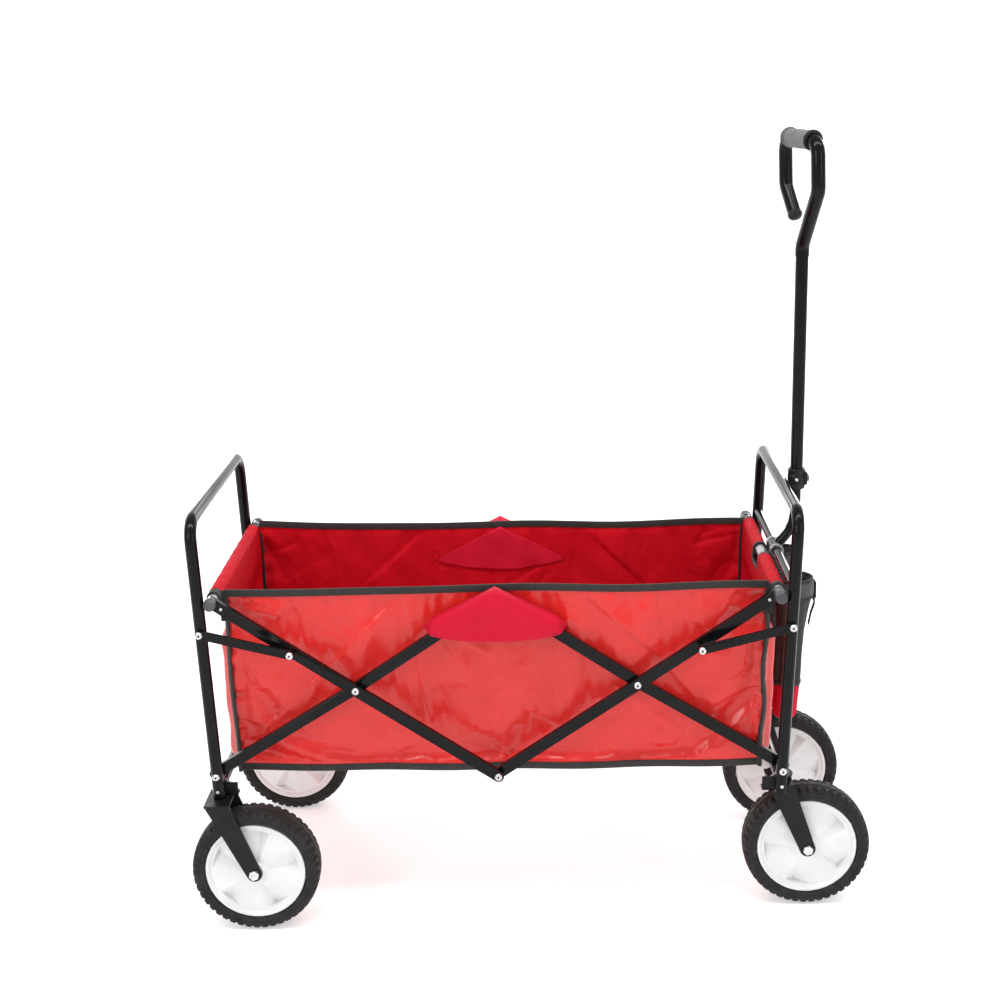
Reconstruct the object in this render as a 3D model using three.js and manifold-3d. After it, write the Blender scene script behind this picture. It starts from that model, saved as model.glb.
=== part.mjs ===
// Folding camp wagon: fabric tub on a scissor frame, two fixed rear wheels, two front casters,
// telescopic pull handle. Millimetres, +Z up, +X towards the pull handle, ground at z = 0.
import * as THREE from "three";
import { mergeVertices } from "three/addons/utils/BufferGeometryUtils.js";
import Module from "manifold-3d";

const wasm = await Module();
wasm.setup();

// --- driving dimensions -------------------------------------------------------------------
const midLength = 44; // middle of the overall length, from midway between the end frames
const fit = 0.3; // clearance between pieces that touch

const pivotX = 375; // lower pivots of the end frames
const pivotZ = 219;
const lean = 0.039; // outward lean of the posts, per mm of height
const postY = 184;
const tubeR = 8;
const postFootZ = 186;
const frameTopZ = 568;
const frameBendR = 28;

const crossX = 185; // scissor crossing of each half
const crossZ = 336;
const crossRise = 124; // crossing to the middle pivots, up and down
const railX = 367.5; // end rails that carry the tub
const railZ = 460;
const linkPostZ = 421; // short link: its pivot on the post
const linkReach = 99.05; // and its pin along the upper arm, from the crossing

const armHalf = 7.3;
const armThick = 8;
const armTail = 6; // arm end beyond the lower pivot
const outerY = 180; // three layers of arms
const middleY = 170.5;
const innerY = 161;
const pinR = 3;
const holeR = 3.4;
const rivetR = 5;

const crossbarR = 7;
const crossbarZ = 196;
const barEndY = postY - tubeR - fit;

const wheelR = 86;
const wheelHalf = 22;
const rimR = 67.2;
const forkInner = 24;
const forkThick = 3;
const rearWheelX = -329;
const frontWheelX = 417;
const casterX = 379;
const casterY = 127;
const axleR = 5;

const handleBarZ = 470;
const handleBarR = 6;
const shaftX = 412;
const innerTubeR = 6.8;
const outerTubeR = 8.6;
const gripTopZ = 1023;

const tubRimZ = 468;
const tubBaseZ = 208;
const tubRimX = 358;
const tubBaseX = 352;
const tubRimY = 149;
const tubBaseY = 146;
const tubWall = 4;

// --- materials ----------------------------------------------------------------------------
function material(color, roughness, metalness) {
  return new THREE.MeshStandardMaterial({ color, roughness, metalness });
}

const blackSteel = material(0x141416, 0.3, 0.6);
const zincSteel = material(0xb9bcc0, 0.3, 0.9);
const whitePlastic = material(0xdcdde0, 0.4, 0);
const greyPlastic = material(0x4a4b4f, 0.45, 0);
const blackRubber = material(0x1b1b1d, 0.8, 0);
const redFabric = material(0xd8332f, 0.45, 0);
const blackMesh = material(0x202022, 0.9, 0);

// --- solids -------------------------------------------------------------------------------
function solid(geometry) {
  const bare = new THREE.BufferGeometry();
  bare.setAttribute("position", geometry.getAttribute("position"));
  bare.setIndex(geometry.getIndex());
  const merged = mergeVertices(bare, 1e-4);
  const position = merged.getAttribute("position").array;
  const corners = [];
  let volume = 0;
  const index = merged.getIndex().array;
  const [a, b, c] = [new THREE.Vector3(), new THREE.Vector3(), new THREE.Vector3()];
  for (let i = 0; i < index.length; i += 3) {
    const [p, q, r] = index.slice(i, i + 3);
    if (p === q || q === r || r === p) continue;
    corners.push(p, q, r);
    a.fromArray(position, 3 * p);
    b.fromArray(position, 3 * q);
    c.fromArray(position, 3 * r);
    volume += a.dot(b.cross(c));
  }
  if (volume < 0) {
    for (let i = 0; i < corners.length; i += 3) {
      [corners[i], corners[i + 1]] = [corners[i + 1], corners[i]];
    }
  }
  const mesh = new wasm.Mesh({
    numProp: 3,
    vertProperties: new Float32Array(position),
    triVerts: new Uint32Array(corners),
  });
  return new wasm.Manifold(mesh);
}

function geometryOf(body) {
  const mesh = body.getMesh();
  const geometry = new THREE.BufferGeometry();
  geometry.setAttribute("position", new THREE.BufferAttribute(mesh.vertProperties, 3));
  geometry.setIndex(new THREE.BufferAttribute(mesh.triVerts, 1));
  return geometry;
}

const wagon = new THREE.Group();
wagon.position.x = -midLength;

function add(name, body, look) {
  const geometry = geometryOf(body);
  geometry.computeVertexNormals();
  const mesh = new THREE.Mesh(geometry, look);
  mesh.name = name;
  wagon.add(mesh);
}

// Solid turned about an axis along Y through (x, z); the profile is [radius, y] pairs.
function turned(profile, x, z, segments) {
  const points = profile.map(([r, y]) => new THREE.Vector2(r, y));
  return solid(new THREE.LatheGeometry(points, segments).translate(x, 0, z));
}

function rodY(radius, x, z, y0, y1, segments = 10) {
  return turned([[0, y0], [radius, y0], [radius, y1], [0, y1]], x, z, segments);
}

// Solid turned about a vertical axis through (x, y); the profile is [radius, z] pairs.
function upright(profile, x, y, segments) {
  const points = profile.map(([r, z]) => new THREE.Vector2(r, z));
  return solid(new THREE.LatheGeometry(points, segments).rotateX(Math.PI / 2).translate(x, y, 0));
}

// A path through given stations, so that a tube has a section at each station only.
class Route extends THREE.Curve {
  constructor(stations) {
    super();
    this.stations = stations;
  }

  getPoint(t) {
    const s = t * (this.stations.length - 1);
    const i = Math.min(Math.floor(s), this.stations.length - 2);
    return this.stations[i].clone().lerp(this.stations[i + 1], s - i);
  }

  getPointAt(t) {
    return this.getPoint(t);
  }

  getTangentAt(t) {
    const i = Math.round(t * (this.stations.length - 1));
    const before = this.stations[Math.max(i - 1, 0)];
    const here = this.stations[i];
    const after = this.stations[Math.min(i + 1, this.stations.length - 1)];
    const arriving = here.clone().sub(before).normalize();
    const leaving = after.clone().sub(here).normalize();
    return arriving.add(leaving).normalize();
  }
}

function tube(stations, radius, sides) {
  const ring = [];
  for (let i = 0; i < sides; i += 1) {
    const angle = (2 * Math.PI * i) / sides;
    ring.push(new THREE.Vector2(radius * Math.cos(angle), radius * Math.sin(angle)));
  }
  const options = { steps: stations.length - 1, extrudePath: new Route(stations) };
  return solid(new THREE.ExtrudeGeometry(new THREE.Shape(ring), options));
}

// Stations of a line through corner points, each corner rounded to the given radius.
function rounded(corners, radius, perCorner) {
  const stations = [corners[0]];
  for (let i = 1; i < corners.length - 1; i += 1) {
    const toward = corners[i - 1].clone().sub(corners[i]).normalize();
    const away = corners[i + 1].clone().sub(corners[i]).normalize();
    const turn = Math.PI - toward.angleTo(away);
    const reach = radius * Math.tan(turn / 2);
    const centre = toward.clone().add(away).normalize();
    centre.multiplyScalar(radius / Math.cos(turn / 2)).add(corners[i]);
    const start = corners[i].clone().addScaledVector(toward, reach).sub(centre);
    const end = corners[i].clone().addScaledVector(away, reach).sub(centre);
    for (let k = 0; k <= perCorner; k += 1) {
      const part = (turn * k) / perCorner;
      const point = start.clone().multiplyScalar(Math.sin(turn - part) / Math.sin(turn));
      point.addScaledVector(end, Math.sin(part) / Math.sin(turn));
      stations.push(point.add(centre));
    }
  }
  stations.push(corners[corners.length - 1]);
  return stations;
}

// Flat bar in the XZ plane between two points, centred on y, with rounded ends and pin holes.
function bar([ax, az], [bx, bz], half, y, thick, holes = []) {
  const angle = Math.atan2(bz - az, bx - ax);
  const shape = new THREE.Shape();
  shape.absarc(bx, bz, half, angle - Math.PI / 2, angle + Math.PI / 2);
  shape.absarc(ax, az, half, angle + Math.PI / 2, angle + 1.5 * Math.PI);
  const options = { depth: thick, bevelEnabled: false, curveSegments: 5 };
  const flat = new THREE.ExtrudeGeometry(shape, options);
  let body = solid(flat.rotateX(Math.PI / 2).translate(0, y + thick / 2, 0));
  for (const [x, z] of holes) {
    body = body.subtract(rodY(holeR, x, z, y - thick, y + thick));
  }
  return body;
}

function beyond([ax, az], [bx, bz], extra) {
  const length = Math.hypot(bx - ax, bz - az);
  return [bx + ((bx - ax) * extra) / length, bz + ((bz - az) * extra) / length];
}

// --- end frames ---------------------------------------------------------------------------
function postX(z) {
  return pivotX + lean * (z - pivotZ);
}

const linkPost = [postX(linkPostZ), linkPostZ];

function endFrame(end) {
  const corners = [
    [-postY, postFootZ],
    [-postY, frameTopZ],
    [postY, frameTopZ],
    [postY, postFootZ],
  ].map(([y, z]) => new THREE.Vector3(end * postX(z), y, z));
  let body = tube(rounded(corners, frameBendR, 5), tubeR, 14);
  body = body.subtract(rodY(holeR, end * pivotX, pivotZ, -210, 210));
  return body.subtract(rodY(holeR, end * linkPost[0], linkPost[1], -210, 210));
}

function crossbar(end, radius, z) {
  return rodY(radius, end * postX(z), z, -barEndY, barEndY, 14);
}

add("rear_frame_tube", endFrame(-1), blackSteel);
add("front_frame_tube", endFrame(1), blackSteel);
add("rear_crossbar", crossbar(-1, crossbarR, crossbarZ), blackSteel);
add("front_crossbar", crossbar(1, crossbarR, crossbarZ), blackSteel);
add("handle_crossbar", crossbar(1, handleBarR, handleBarZ), blackSteel);

// --- pins and arms ------------------------------------------------------------------------
// Rivet along Y: a shank between two heads; "from" and "to" are the faces it clamps.
function rivet(x, z, from, to, headR, headT) {
  const [low, high] = from < to ? [from, to] : [to, from];
  const profile = [
    [0, low - headT],
    [headR - 1.5, low - headT],
    [headR, low - fit],
    [pinR, low - fit],
    [pinR, high + fit],
    [headR, high + fit],
    [headR - 1.5, high + headT],
    [0, high + headT],
  ];
  return turned(profile, x, z, 10);
}

const half = armThick / 2;
const linkAngle = Math.atan2(railZ - crossZ, railX - crossX);
const linkPin = [crossX + linkReach * Math.cos(linkAngle), crossZ + linkReach * Math.sin(linkAngle)];

for (const [sideName, side] of [["near", -1], ["far", 1]]) {
  for (const [endName, end] of [["rear", -1], ["front", 1]]) {
    const foot = [end * pivotX, pivotZ];
    const cross = [end * crossX, crossZ];
    const top = [0, crossZ + crossRise];
    const bottom = [0, crossZ - crossRise];
    const rail = [end * railX, railZ];
    const lowerLayer = end < 0 ? middleY : innerY;
    const upperLayer = end < 0 ? outerY : middleY;
    const tail = beyond(cross, foot, armTail);

    let lower = bar(tail, cross, armHalf, side * lowerLayer, armThick, [foot]);
    lower = lower.add(bar(cross, top, armHalf, side * lowerLayer, armThick));
    lower = lower.subtract(rodY(holeR, cross[0], cross[1], -210, 210));
    let upper = bar(rail, cross, armHalf, side * upperLayer, armThick);
    upper = upper.add(bar(cross, bottom, armHalf, side * upperLayer, armThick));
    upper = upper.subtract(rodY(holeR, cross[0], cross[1], -210, 210));
    upper = upper.subtract(rodY(holeR, rail[0], rail[1], -210, 210));
    if (end < 0) {
      lower = lower.subtract(rodY(holeR, top[0], top[1], -210, 210));
      const inward = rivet(bottom[0], bottom[1], side * (middleY - half), side * outerY, rivetR, 2.6);
      upper = upper.add(inward);
    } else {
      upper = upper.subtract(rodY(holeR, bottom[0], bottom[1], -210, 210));
      const outward = rivet(top[0], top[1], side * innerY, side * (middleY + half), rivetR, 2.6);
      lower = lower.add(outward);
    }
    add(`${endName}_lower_arm_${sideName}`, lower, blackSteel);
    add(`${endName}_upper_arm_${sideName}`, upper, blackSteel);

    const footPin = rivet(foot[0], foot[1], side * (lowerLayer - half), side * (postY + tubeR), rivetR, 2.8);
    add(`${endName}_foot_pin_${sideName}`, footPin, zincSteel);
    const crossFaces = [side * (lowerLayer - half), side * (upperLayer + half)];
    const crossPin = rivet(cross[0], cross[1], crossFaces[0], crossFaces[1], rivetR, 2.8);
    add(`${endName}_cross_pin_${sideName}`, crossPin, zincSteel);

    // Short link outside the post: one pivot in the post, one pin that rests on the upper arm.
    const linkY = postY + tubeR + 2.7;
    const onPost = [end * linkPost[0], linkPost[1]];
    const onArm = [end * linkPin[0], linkPin[1]];
    let link = bar(onPost, onArm, 6, side * linkY, 3.8);
    const ends = [[onPost, postY - 4], [onArm, upperLayer + half + 0.4]];
    for (const [[x, z], depth] of ends) {
      const reach = [side * depth, side * (linkY + 1)].sort((m, n) => m - n);
      link = link.add(rodY(pinR, x, z, reach[0], reach[1]));
      const head = [side * linkY, side * (linkY + 4)].sort((m, n) => m - n);
      link = link.add(rodY(4.6, x, z, head[0], head[1]));
    }
    add(`${endName}_link_${sideName}`, link, blackSteel);
  }
}

// --- rails --------------------------------------------------------------------------------
for (const [endName, end] of [["rear", -1], ["front", 1]]) {
  const layer = end < 0 ? outerY : middleY;
  const shoulder = layer - half - fit;
  const spigot = layer + half + 4;
  const profile = [
    [0, -spigot],
    [pinR, -spigot],
    [pinR, -shoulder],
    [7.2, -shoulder],
    [7.2, shoulder],
    [pinR, shoulder],
    [pinR, spigot],
    [0, spigot],
  ];
  add(`${endName}_rail`, turned(profile, end * railX, railZ, 12), blackSteel);
  for (const [sideName, side] of [["near", -1], ["far", 1]]) {
    const capProfile = [
      [holeR, side * (layer + half + fit)],
      [7.8, side * (layer + half + fit)],
      [7.8, side * 195],
      [6.3, side * 197],
      [0, side * 197],
      [0, side * (spigot + fit)],
      [holeR, side * (spigot + fit)],
      [holeR, side * (layer + half + fit)],
    ];
    add(`${endName}_rail_cap_${sideName}`, turned(capProfile, end * railX, railZ, 12), greyPlastic);
  }
}

// --- wheels and forks ---------------------------------------------------------------------
// Pressed fork: a top plate and two side plates that taper down to the axle.
function fork(topX, topZ, hubX, y) {
  const hubZ = wheelR;
  const along = Math.atan2(hubZ - topZ, hubX - topX);
  const shape = new THREE.Shape();
  shape.moveTo(topX + 17, topZ);
  shape.lineTo(topX - 17, topZ);
  shape.absarc(hubX, hubZ, 10.5, along - Math.PI / 2, along + Math.PI / 2);
  const options = { depth: forkThick, bevelEnabled: false, curveSegments: 6 };
  const plate = solid(new THREE.ExtrudeGeometry(shape, options).rotateX(Math.PI / 2));
  const width = 2 * (forkInner + forkThick);
  const top = solid(new THREE.BoxGeometry(34, width, forkThick).translate(topX, y, topZ - forkThick / 2));
  const body = top
    .add(plate.translate([0, y + forkInner + forkThick, 0]))
    .add(plate.translate([0, y - forkInner, 0]));
  return body.subtract(rodY(axleR + 0.4, hubX, hubZ, y - 40, y + 40));
}

function wheel(label, x, y) {
  const tread = [
    [rimR + 0.8, -18],
    [77, -wheelHalf],
    [84, -18],
    [wheelR, -9],
    [wheelR, 9],
    [84, 18],
    [77, wheelHalf],
    [rimR + 0.8, 18],
    [rimR + 0.8, -18],
  ];
  const place = (profile) => profile.map(([r, offset]) => [r, y + offset]);
  add(`${label}_tyre`, turned(place(tread), x, wheelR, 28), blackRubber);
  const disc = [
    [axleR + 0.5, -wheelHalf],
    [15, -wheelHalf],
    [18, -13],
    [54, -9],
    [60, -17],
    [rimR, -18],
    [rimR, 18],
    [60, 17],
    [54, 9],
    [18, 13],
    [15, wheelHalf],
    [axleR + 0.5, wheelHalf],
    [axleR + 0.5, -wheelHalf],
  ];
  add(`${label}_rim`, turned(place(disc), x, wheelR, 28), whitePlastic);
  const faces = forkInner + forkThick + fit;
  const axle = [
    [0, -faces - 4],
    [6, -faces - 4],
    [7, -faces],
    [axleR, -faces],
    [axleR, faces],
    [7, faces],
    [6, faces + 4],
    [0, faces + 4],
  ];
  add(`${label}_axle`, turned(place(axle), x, wheelR, 12), zincSteel);
}

for (const [sideName, side] of [["near", -1], ["far", 1]]) {
  wheel(`rear_${sideName}`, rearWheelX, side * postY);
  const rearTopX = -postX(postFootZ);
  add(`rear_fork_${sideName}`, fork(rearTopX, postFootZ - fit, rearWheelX, side * postY), blackSteel);

  wheel(`front_${sideName}`, frontWheelX, side * casterY);
  const bracketTop = crossbarZ - crossbarR - fit;
  const forkTop = bracketTop - 7.2;
  const kingpin = upright([[0, forkTop - 2], [6, forkTop - 2], [6, bracketTop - 1], [0, bracketTop - 1]], casterX, side * casterY, 16);
  const casterFork = fork(casterX, forkTop, frontWheelX, side * casterY).add(kingpin);
  add(`caster_fork_${sideName}`, casterFork, blackSteel);
  const bracketProfile = [
    [6.4, forkTop + fit],
    [17, forkTop + fit],
    [19, bracketTop],
    [6.4, bracketTop],
    [6.4, forkTop + fit],
  ];
  add(`caster_bracket_${sideName}`, upright(bracketProfile, casterX, side * casterY, 20), blackSteel);
}

// --- pull handle --------------------------------------------------------------------------
const barX = postX(handleBarZ);
const neck = [
  [barX + 3, handleBarZ + 4],
  [barX + 11, handleBarZ + 12],
  [barX + 18.5, handleBarZ + 22],
  [barX + 24, handleBarZ + 35],
  [shaftX - 0.9, handleBarZ + 50],
  [shaftX, handleBarZ + 66],
  [shaftX, 856],
].map(([x, z]) => new THREE.Vector3(x, 0, z));
let lowerTube = tube(neck, innerTubeR, 16);
const footRing = rodY(9, barX, handleBarZ, -13, 13, 20);
lowerTube = lowerTube.add(footRing).subtract(rodY(handleBarR + 0.4, barX, handleBarZ, -14, 14, 20));
add("handle_lower_tube", lowerTube, blackSteel);

// The hand loop stands nearly across the wagon, turned a little and leaning inward. Its tube
// rises from the shaft on one side, crosses at the grip and comes back down to a free end.
const loopYaw = 0.225;
const loopHalf = 57;
const loopFootZ = 885;
const loopShoulderZ = 960;
function loopPoint(u, z) {
  const back = (5 * Math.max(z - loopFootZ, 0)) / (gripTopZ - loopFootZ);
  return new THREE.Vector3(shaftX - back - u * Math.sin(loopYaw), u * Math.cos(loopYaw), z);
}
const loopCorners = [
  [0, loopFootZ - 14],
  [0, loopFootZ],
  [-loopHalf, loopShoulderZ],
  [-loopHalf, gripTopZ],
  [loopHalf, gripTopZ],
  [loopHalf, loopShoulderZ],
  [26, 924],
].map(([u, z]) => loopPoint(u, z));
const loopTube = tube(rounded(loopCorners, 18, 3), 9.3, 14);
const sleeve = upright([[0, 556], [outerTubeR, 556], [outerTubeR, 882], [0, 882]], shaftX, 0, 16);
const sleeveBore = upright([[0, 540], [7.2, 540], [7.2, 866], [0, 866]], shaftX, 0, 16);
add("handle_upper_tube", sleeve.subtract(sleeveBore).add(loopTube), blackSteel);

const gripProfile = [
  [9.7, -38],
  [12, -38],
  [12.8, -35],
  [12, -30],
  [12.4, 0],
  [12, 30],
  [12.8, 35],
  [12, 38],
  [9.7, 38],
  [9.7, -38],
].map(([r, y]) => new THREE.Vector2(r, y));
const gripAt = loopPoint(0, gripTopZ);
const grip = new THREE.LatheGeometry(gripProfile, 16);
grip.rotateZ(loopYaw).translate(gripAt.x, 0, gripTopZ);
add("grip", solid(grip), greyPlastic);

const collarProfile = [
  [8.9, 554],
  [11.4, 554],
  [11.8, 558],
  [11.8, 578],
  [11, 582],
  [8.9, 582],
  [8.9, 554],
];
const collarBody = upright(collarProfile, shaftX, 0, 20);
const button = solid(new THREE.CylinderGeometry(6, 6.5, 6, 14).rotateZ(-Math.PI / 2).translate(shaftX + 14, 0, 568));
add("handle_collar", collarBody.add(button), greyPlastic);

// --- tub and cup pocket -------------------------------------------------------------------
function tubBlock(inset, floorZ, topZ) {
  const corner = 12 - inset / 2;
  const x = tubRimX - inset;
  const y = tubRimY - inset;
  const shape = new THREE.Shape();
  shape.absarc(x - corner, y - corner, corner, 0, Math.PI / 2);
  shape.absarc(corner - x, y - corner, corner, Math.PI / 2, Math.PI);
  shape.absarc(corner - x, corner - y, corner, Math.PI, 1.5 * Math.PI);
  shape.absarc(x - corner, corner - y, corner, 1.5 * Math.PI, 2 * Math.PI);
  const options = { depth: topZ - floorZ, bevelEnabled: false, curveSegments: 4 };
  const geometry = new THREE.ExtrudeGeometry(shape, options).translate(0, 0, floorZ);
  const position = geometry.getAttribute("position");
  for (let i = 0; i < position.count; i += 1) {
    const down = (tubRimZ - position.getZ(i)) / (tubRimZ - tubBaseZ);
    position.setX(i, position.getX(i) * (1 - (down * (tubRimX - tubBaseX)) / tubRimX));
    position.setY(i, position.getY(i) * (1 - (down * (tubRimY - tubBaseY)) / tubRimY));
  }
  return solid(geometry);
}

const tub = tubBlock(0, tubBaseZ, tubRimZ).subtract(tubBlock(tubWall, tubBaseZ + tubWall, tubRimZ + 20));
add("tub_fabric", tub, redFabric);

// Drink pockets on the front frame: tapered, and slanting in towards the tub at the bottom.
const pocketX = 404;
const pocketY = 64;
const pocketTopZ = 446;
const pocketSlant = 0.075;

function cupPocket(y) {
  const wall = [
    [0, 243],
    [11, 243],
    [16, 250],
    [17.5, 330],
    [18.5, 372],
    [25, 416],
    [25, pocketTopZ],
    [22.5, pocketTopZ],
    [22.5, 417],
    [16, 373],
    [15, 330],
    [13.5, 253],
    [0, 247],
  ].map(([r, z]) => new THREE.Vector2(r, z));
  const geometry = new THREE.LatheGeometry(wall, 16).rotateX(Math.PI / 2);
  const position = geometry.getAttribute("position");
  for (let i = 0; i < position.count; i += 1) {
    position.setX(i, position.getX(i) - pocketSlant * (pocketTopZ - position.getZ(i)));
  }
  return solid(geometry.translate(pocketX, y, 0));
}

add("cup_pocket_near", cupPocket(-pocketY), blackMesh);
add("cup_pocket_far", cupPocket(pocketY), blackMesh);

export default wagon;
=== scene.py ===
import math

import bpy
import numpy as np
from mathutils import Matrix, Vector


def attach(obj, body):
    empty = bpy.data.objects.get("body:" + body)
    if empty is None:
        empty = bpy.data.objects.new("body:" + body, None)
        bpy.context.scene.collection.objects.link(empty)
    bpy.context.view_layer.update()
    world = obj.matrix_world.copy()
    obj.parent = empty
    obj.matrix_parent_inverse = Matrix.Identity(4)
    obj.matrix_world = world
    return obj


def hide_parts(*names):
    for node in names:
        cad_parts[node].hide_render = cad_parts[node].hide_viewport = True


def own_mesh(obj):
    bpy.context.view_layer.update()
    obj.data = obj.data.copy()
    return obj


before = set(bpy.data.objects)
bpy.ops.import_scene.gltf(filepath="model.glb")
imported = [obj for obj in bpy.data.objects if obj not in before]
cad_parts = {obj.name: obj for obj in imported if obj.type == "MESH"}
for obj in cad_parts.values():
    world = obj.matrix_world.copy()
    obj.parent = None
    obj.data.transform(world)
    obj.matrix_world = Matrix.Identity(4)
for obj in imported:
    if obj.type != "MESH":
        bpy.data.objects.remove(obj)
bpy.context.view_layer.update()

rng = np.random.default_rng(7)

# Lengths below are in millimetres from midway between the end frames, as in the CAD source;
# MIDDLE is the shift from there to the row frame.
MIDDLE = 44.0
SIDES = (("near", -1), ("far", 1))
ENDS = (("rear", -1), ("front", 1))

PIVOT_X, PIVOT_Z, LEAN, POST_Y, TUBE_R = 375.0, 219.0, 0.039, 184.0, 8.0
CROSS_X, CROSS_Z, CROSS_RISE = 185.0, 336.0, 124.0
RAIL_X, RAIL_Z, RAIL_R = 367.5, 460.0, 7.2
LINK_POST_Z, LINK_REACH = 421.0, 99.05
OUTER_Y, MIDDLE_Y, INNER_Y, ARM_HALF = 180.0, 170.5, 161.0, 4.0
LINK_FACE = 196.6
WHEEL_R, RIM_R = 86.0, 67.2
WHEELS = {
    "rear_near": (-329.0, -184.0), "rear_far": (-329.0, 184.0),
    "front_near": (417.0, -127.0), "front_far": (417.0, 127.0),
}
RIM_Z, BASE_Z = 468.0, 208.0
TUB_X, TUB_BASE_X, TUB_Y, TUB_BASE_Y = 358.0, 352.0, 149.0, 146.0


def post_x(z):
    return PIVOT_X + LEAN * (z - PIVOT_Z)


# --- making meshes ------------------------------------------------------------------------
def metres(points):
    out = np.asarray(points, float).reshape(-1, 3).copy()
    out[:, 0] -= MIDDLE
    return out / 1000.0


def mesh_object(name, points, faces, *materials, smooth=True):
    mesh = bpy.data.meshes.new(name)
    mesh.from_pydata([tuple(p) for p in metres(points)], [], faces)
    mesh.validate()
    for m in materials:
        mesh.materials.append(m)
    mesh.polygons.foreach_set("use_smooth", [smooth] * len(mesh.polygons))
    obj = bpy.data.objects.new(name, mesh)
    bpy.context.scene.collection.objects.link(obj)
    return obj


def grid_faces(rows, columns, close_rows=False, close_columns=False, flip=False):
    faces = []
    for i in range(rows if close_rows else rows - 1):
        for j in range(columns if close_columns else columns - 1):
            a, b = i * columns + j, i * columns + (j + 1) % columns
            c = (i + 1) % rows * columns + (j + 1) % columns
            d = (i + 1) % rows * columns + j
            faces.append((d, c, b, a) if flip else (a, b, c, d))
    return faces


def grid_object(name, grid, *materials, **options):
    rows, columns = grid.shape[:2]
    return mesh_object(name, grid, grid_faces(rows, columns, **options), *materials)


def sharpen(obj, degrees=35):
    obj.data.set_sharp_from_angle(angle=math.radians(degrees))
    return obj


def bevel(obj, width, segments=2, degrees=35):
    m = obj.modifiers.new("Edge", "BEVEL")
    m.width = width / 1000
    m.segments = segments
    m.limit_method = "ANGLE"
    m.angle_limit = math.radians(degrees)
    m.harden_normals = True
    return obj


def thicken(obj, thickness, offset=-1, inner_slot=0):
    m = obj.modifiers.new("Cloth thickness", "SOLIDIFY")
    m.thickness = thickness / 1000
    m.offset = offset
    m.material_offset = inner_slot
    m.use_even_offset = True
    return obj


# Turned about an axis along Y through (x, z): rings of (radius, y) pairs.
def turned(name, profile, x, z, segments, material, closed=False):
    angles = np.linspace(0, 2 * np.pi, segments, endpoint=False)
    grid = np.array([
        [(x + r * math.cos(a), y, z + r * math.sin(a)) for a in angles] for r, y in profile
    ])
    faces = grid_faces(len(profile), segments, close_rows=closed, close_columns=True)
    if not closed:
        faces.append(tuple(range(segments)))
        last = (len(profile) - 1) * segments
        faces.append(tuple(reversed(range(last, last + segments))))
    return outward(mesh_object(name, grid, faces, material))


def outward(obj):
    import bmesh
    bm = bmesh.new()
    bm.from_mesh(obj.data)
    bmesh.ops.recalc_face_normals(bm, faces=bm.faces)
    bm.to_mesh(obj.data)
    bm.free()
    return obj


# A closed section carried along a path; "ups" gives the section's second axis at each station.
def swept(name, path, section, ups, material, closed=False):
    path = np.asarray(path, float)
    ups = np.broadcast_to(np.asarray(ups, float), path.shape)
    if closed:
        tangent = np.roll(path, -1, 0) - np.roll(path, 1, 0)
    else:
        tangent = np.gradient(path, axis=0)
    tangent /= np.linalg.norm(tangent, axis=1)[:, None]
    side = np.cross(ups, tangent)
    side /= np.linalg.norm(side, axis=1)[:, None]
    up = np.cross(tangent, side)
    section = np.asarray(section, float)
    grid = path[:, None] + side[:, None] * section[None, :, :1] + up[:, None] * section[None, :, 1:]
    rows, columns = grid.shape[:2]
    faces = grid_faces(rows, columns, close_rows=closed, close_columns=True)
    if not closed:
        faces.append(tuple(range(columns)))
        faces.append(tuple(reversed(range((rows - 1) * columns, rows * columns))))
    return outward(mesh_object(name, grid, faces, material))


def ring_section(radius, count=12, flat=1.0):
    a = np.linspace(0, 2 * np.pi, count, endpoint=False)
    return np.stack([radius * np.cos(a), flat * radius * np.sin(a)], 1)


BOX_FACES = ((0, 2, 3, 1), (4, 5, 7, 6), (0, 1, 5, 4), (2, 6, 7, 3), (0, 4, 6, 2), (1, 3, 7, 5))


def boxes(name, parts, material, edge=0.8):
    """Boxes given as (x0, x1, y0, y1, z0, z1), in one object with bevelled edges."""
    points, faces = [], []
    for x0, x1, y0, y1, z0, z1 in parts:
        n = len(points)
        points += [(x, y, z) for z in (z0, z1) for y in (y0, y1) for x in (x0, x1)]
        for face in BOX_FACES:
            faces.append(tuple(n + k for k in face))
    return bevel(mesh_object(name, points, faces, material), edge, 3)


def spline(points, count):
    """A smooth line through points, with count stations."""
    p = np.asarray(points, float)
    p = np.concatenate([2 * p[:1] - p[1:2], p, 2 * p[-1:] - p[-2:-1]])
    out = []
    for s in np.linspace(0, len(points) - 1 - 1e-9, count):
        i = int(s)
        t = s - i
        a, b, c, d = p[i], p[i + 1], p[i + 2], p[i + 3]
        out.append(0.5 * (2 * b + (c - a) * t + (2 * a - 5 * b + 4 * c - d) * t * t
                          + (3 * b - a - 3 * c + d) * t ** 3))
    return np.array(out)


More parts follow.
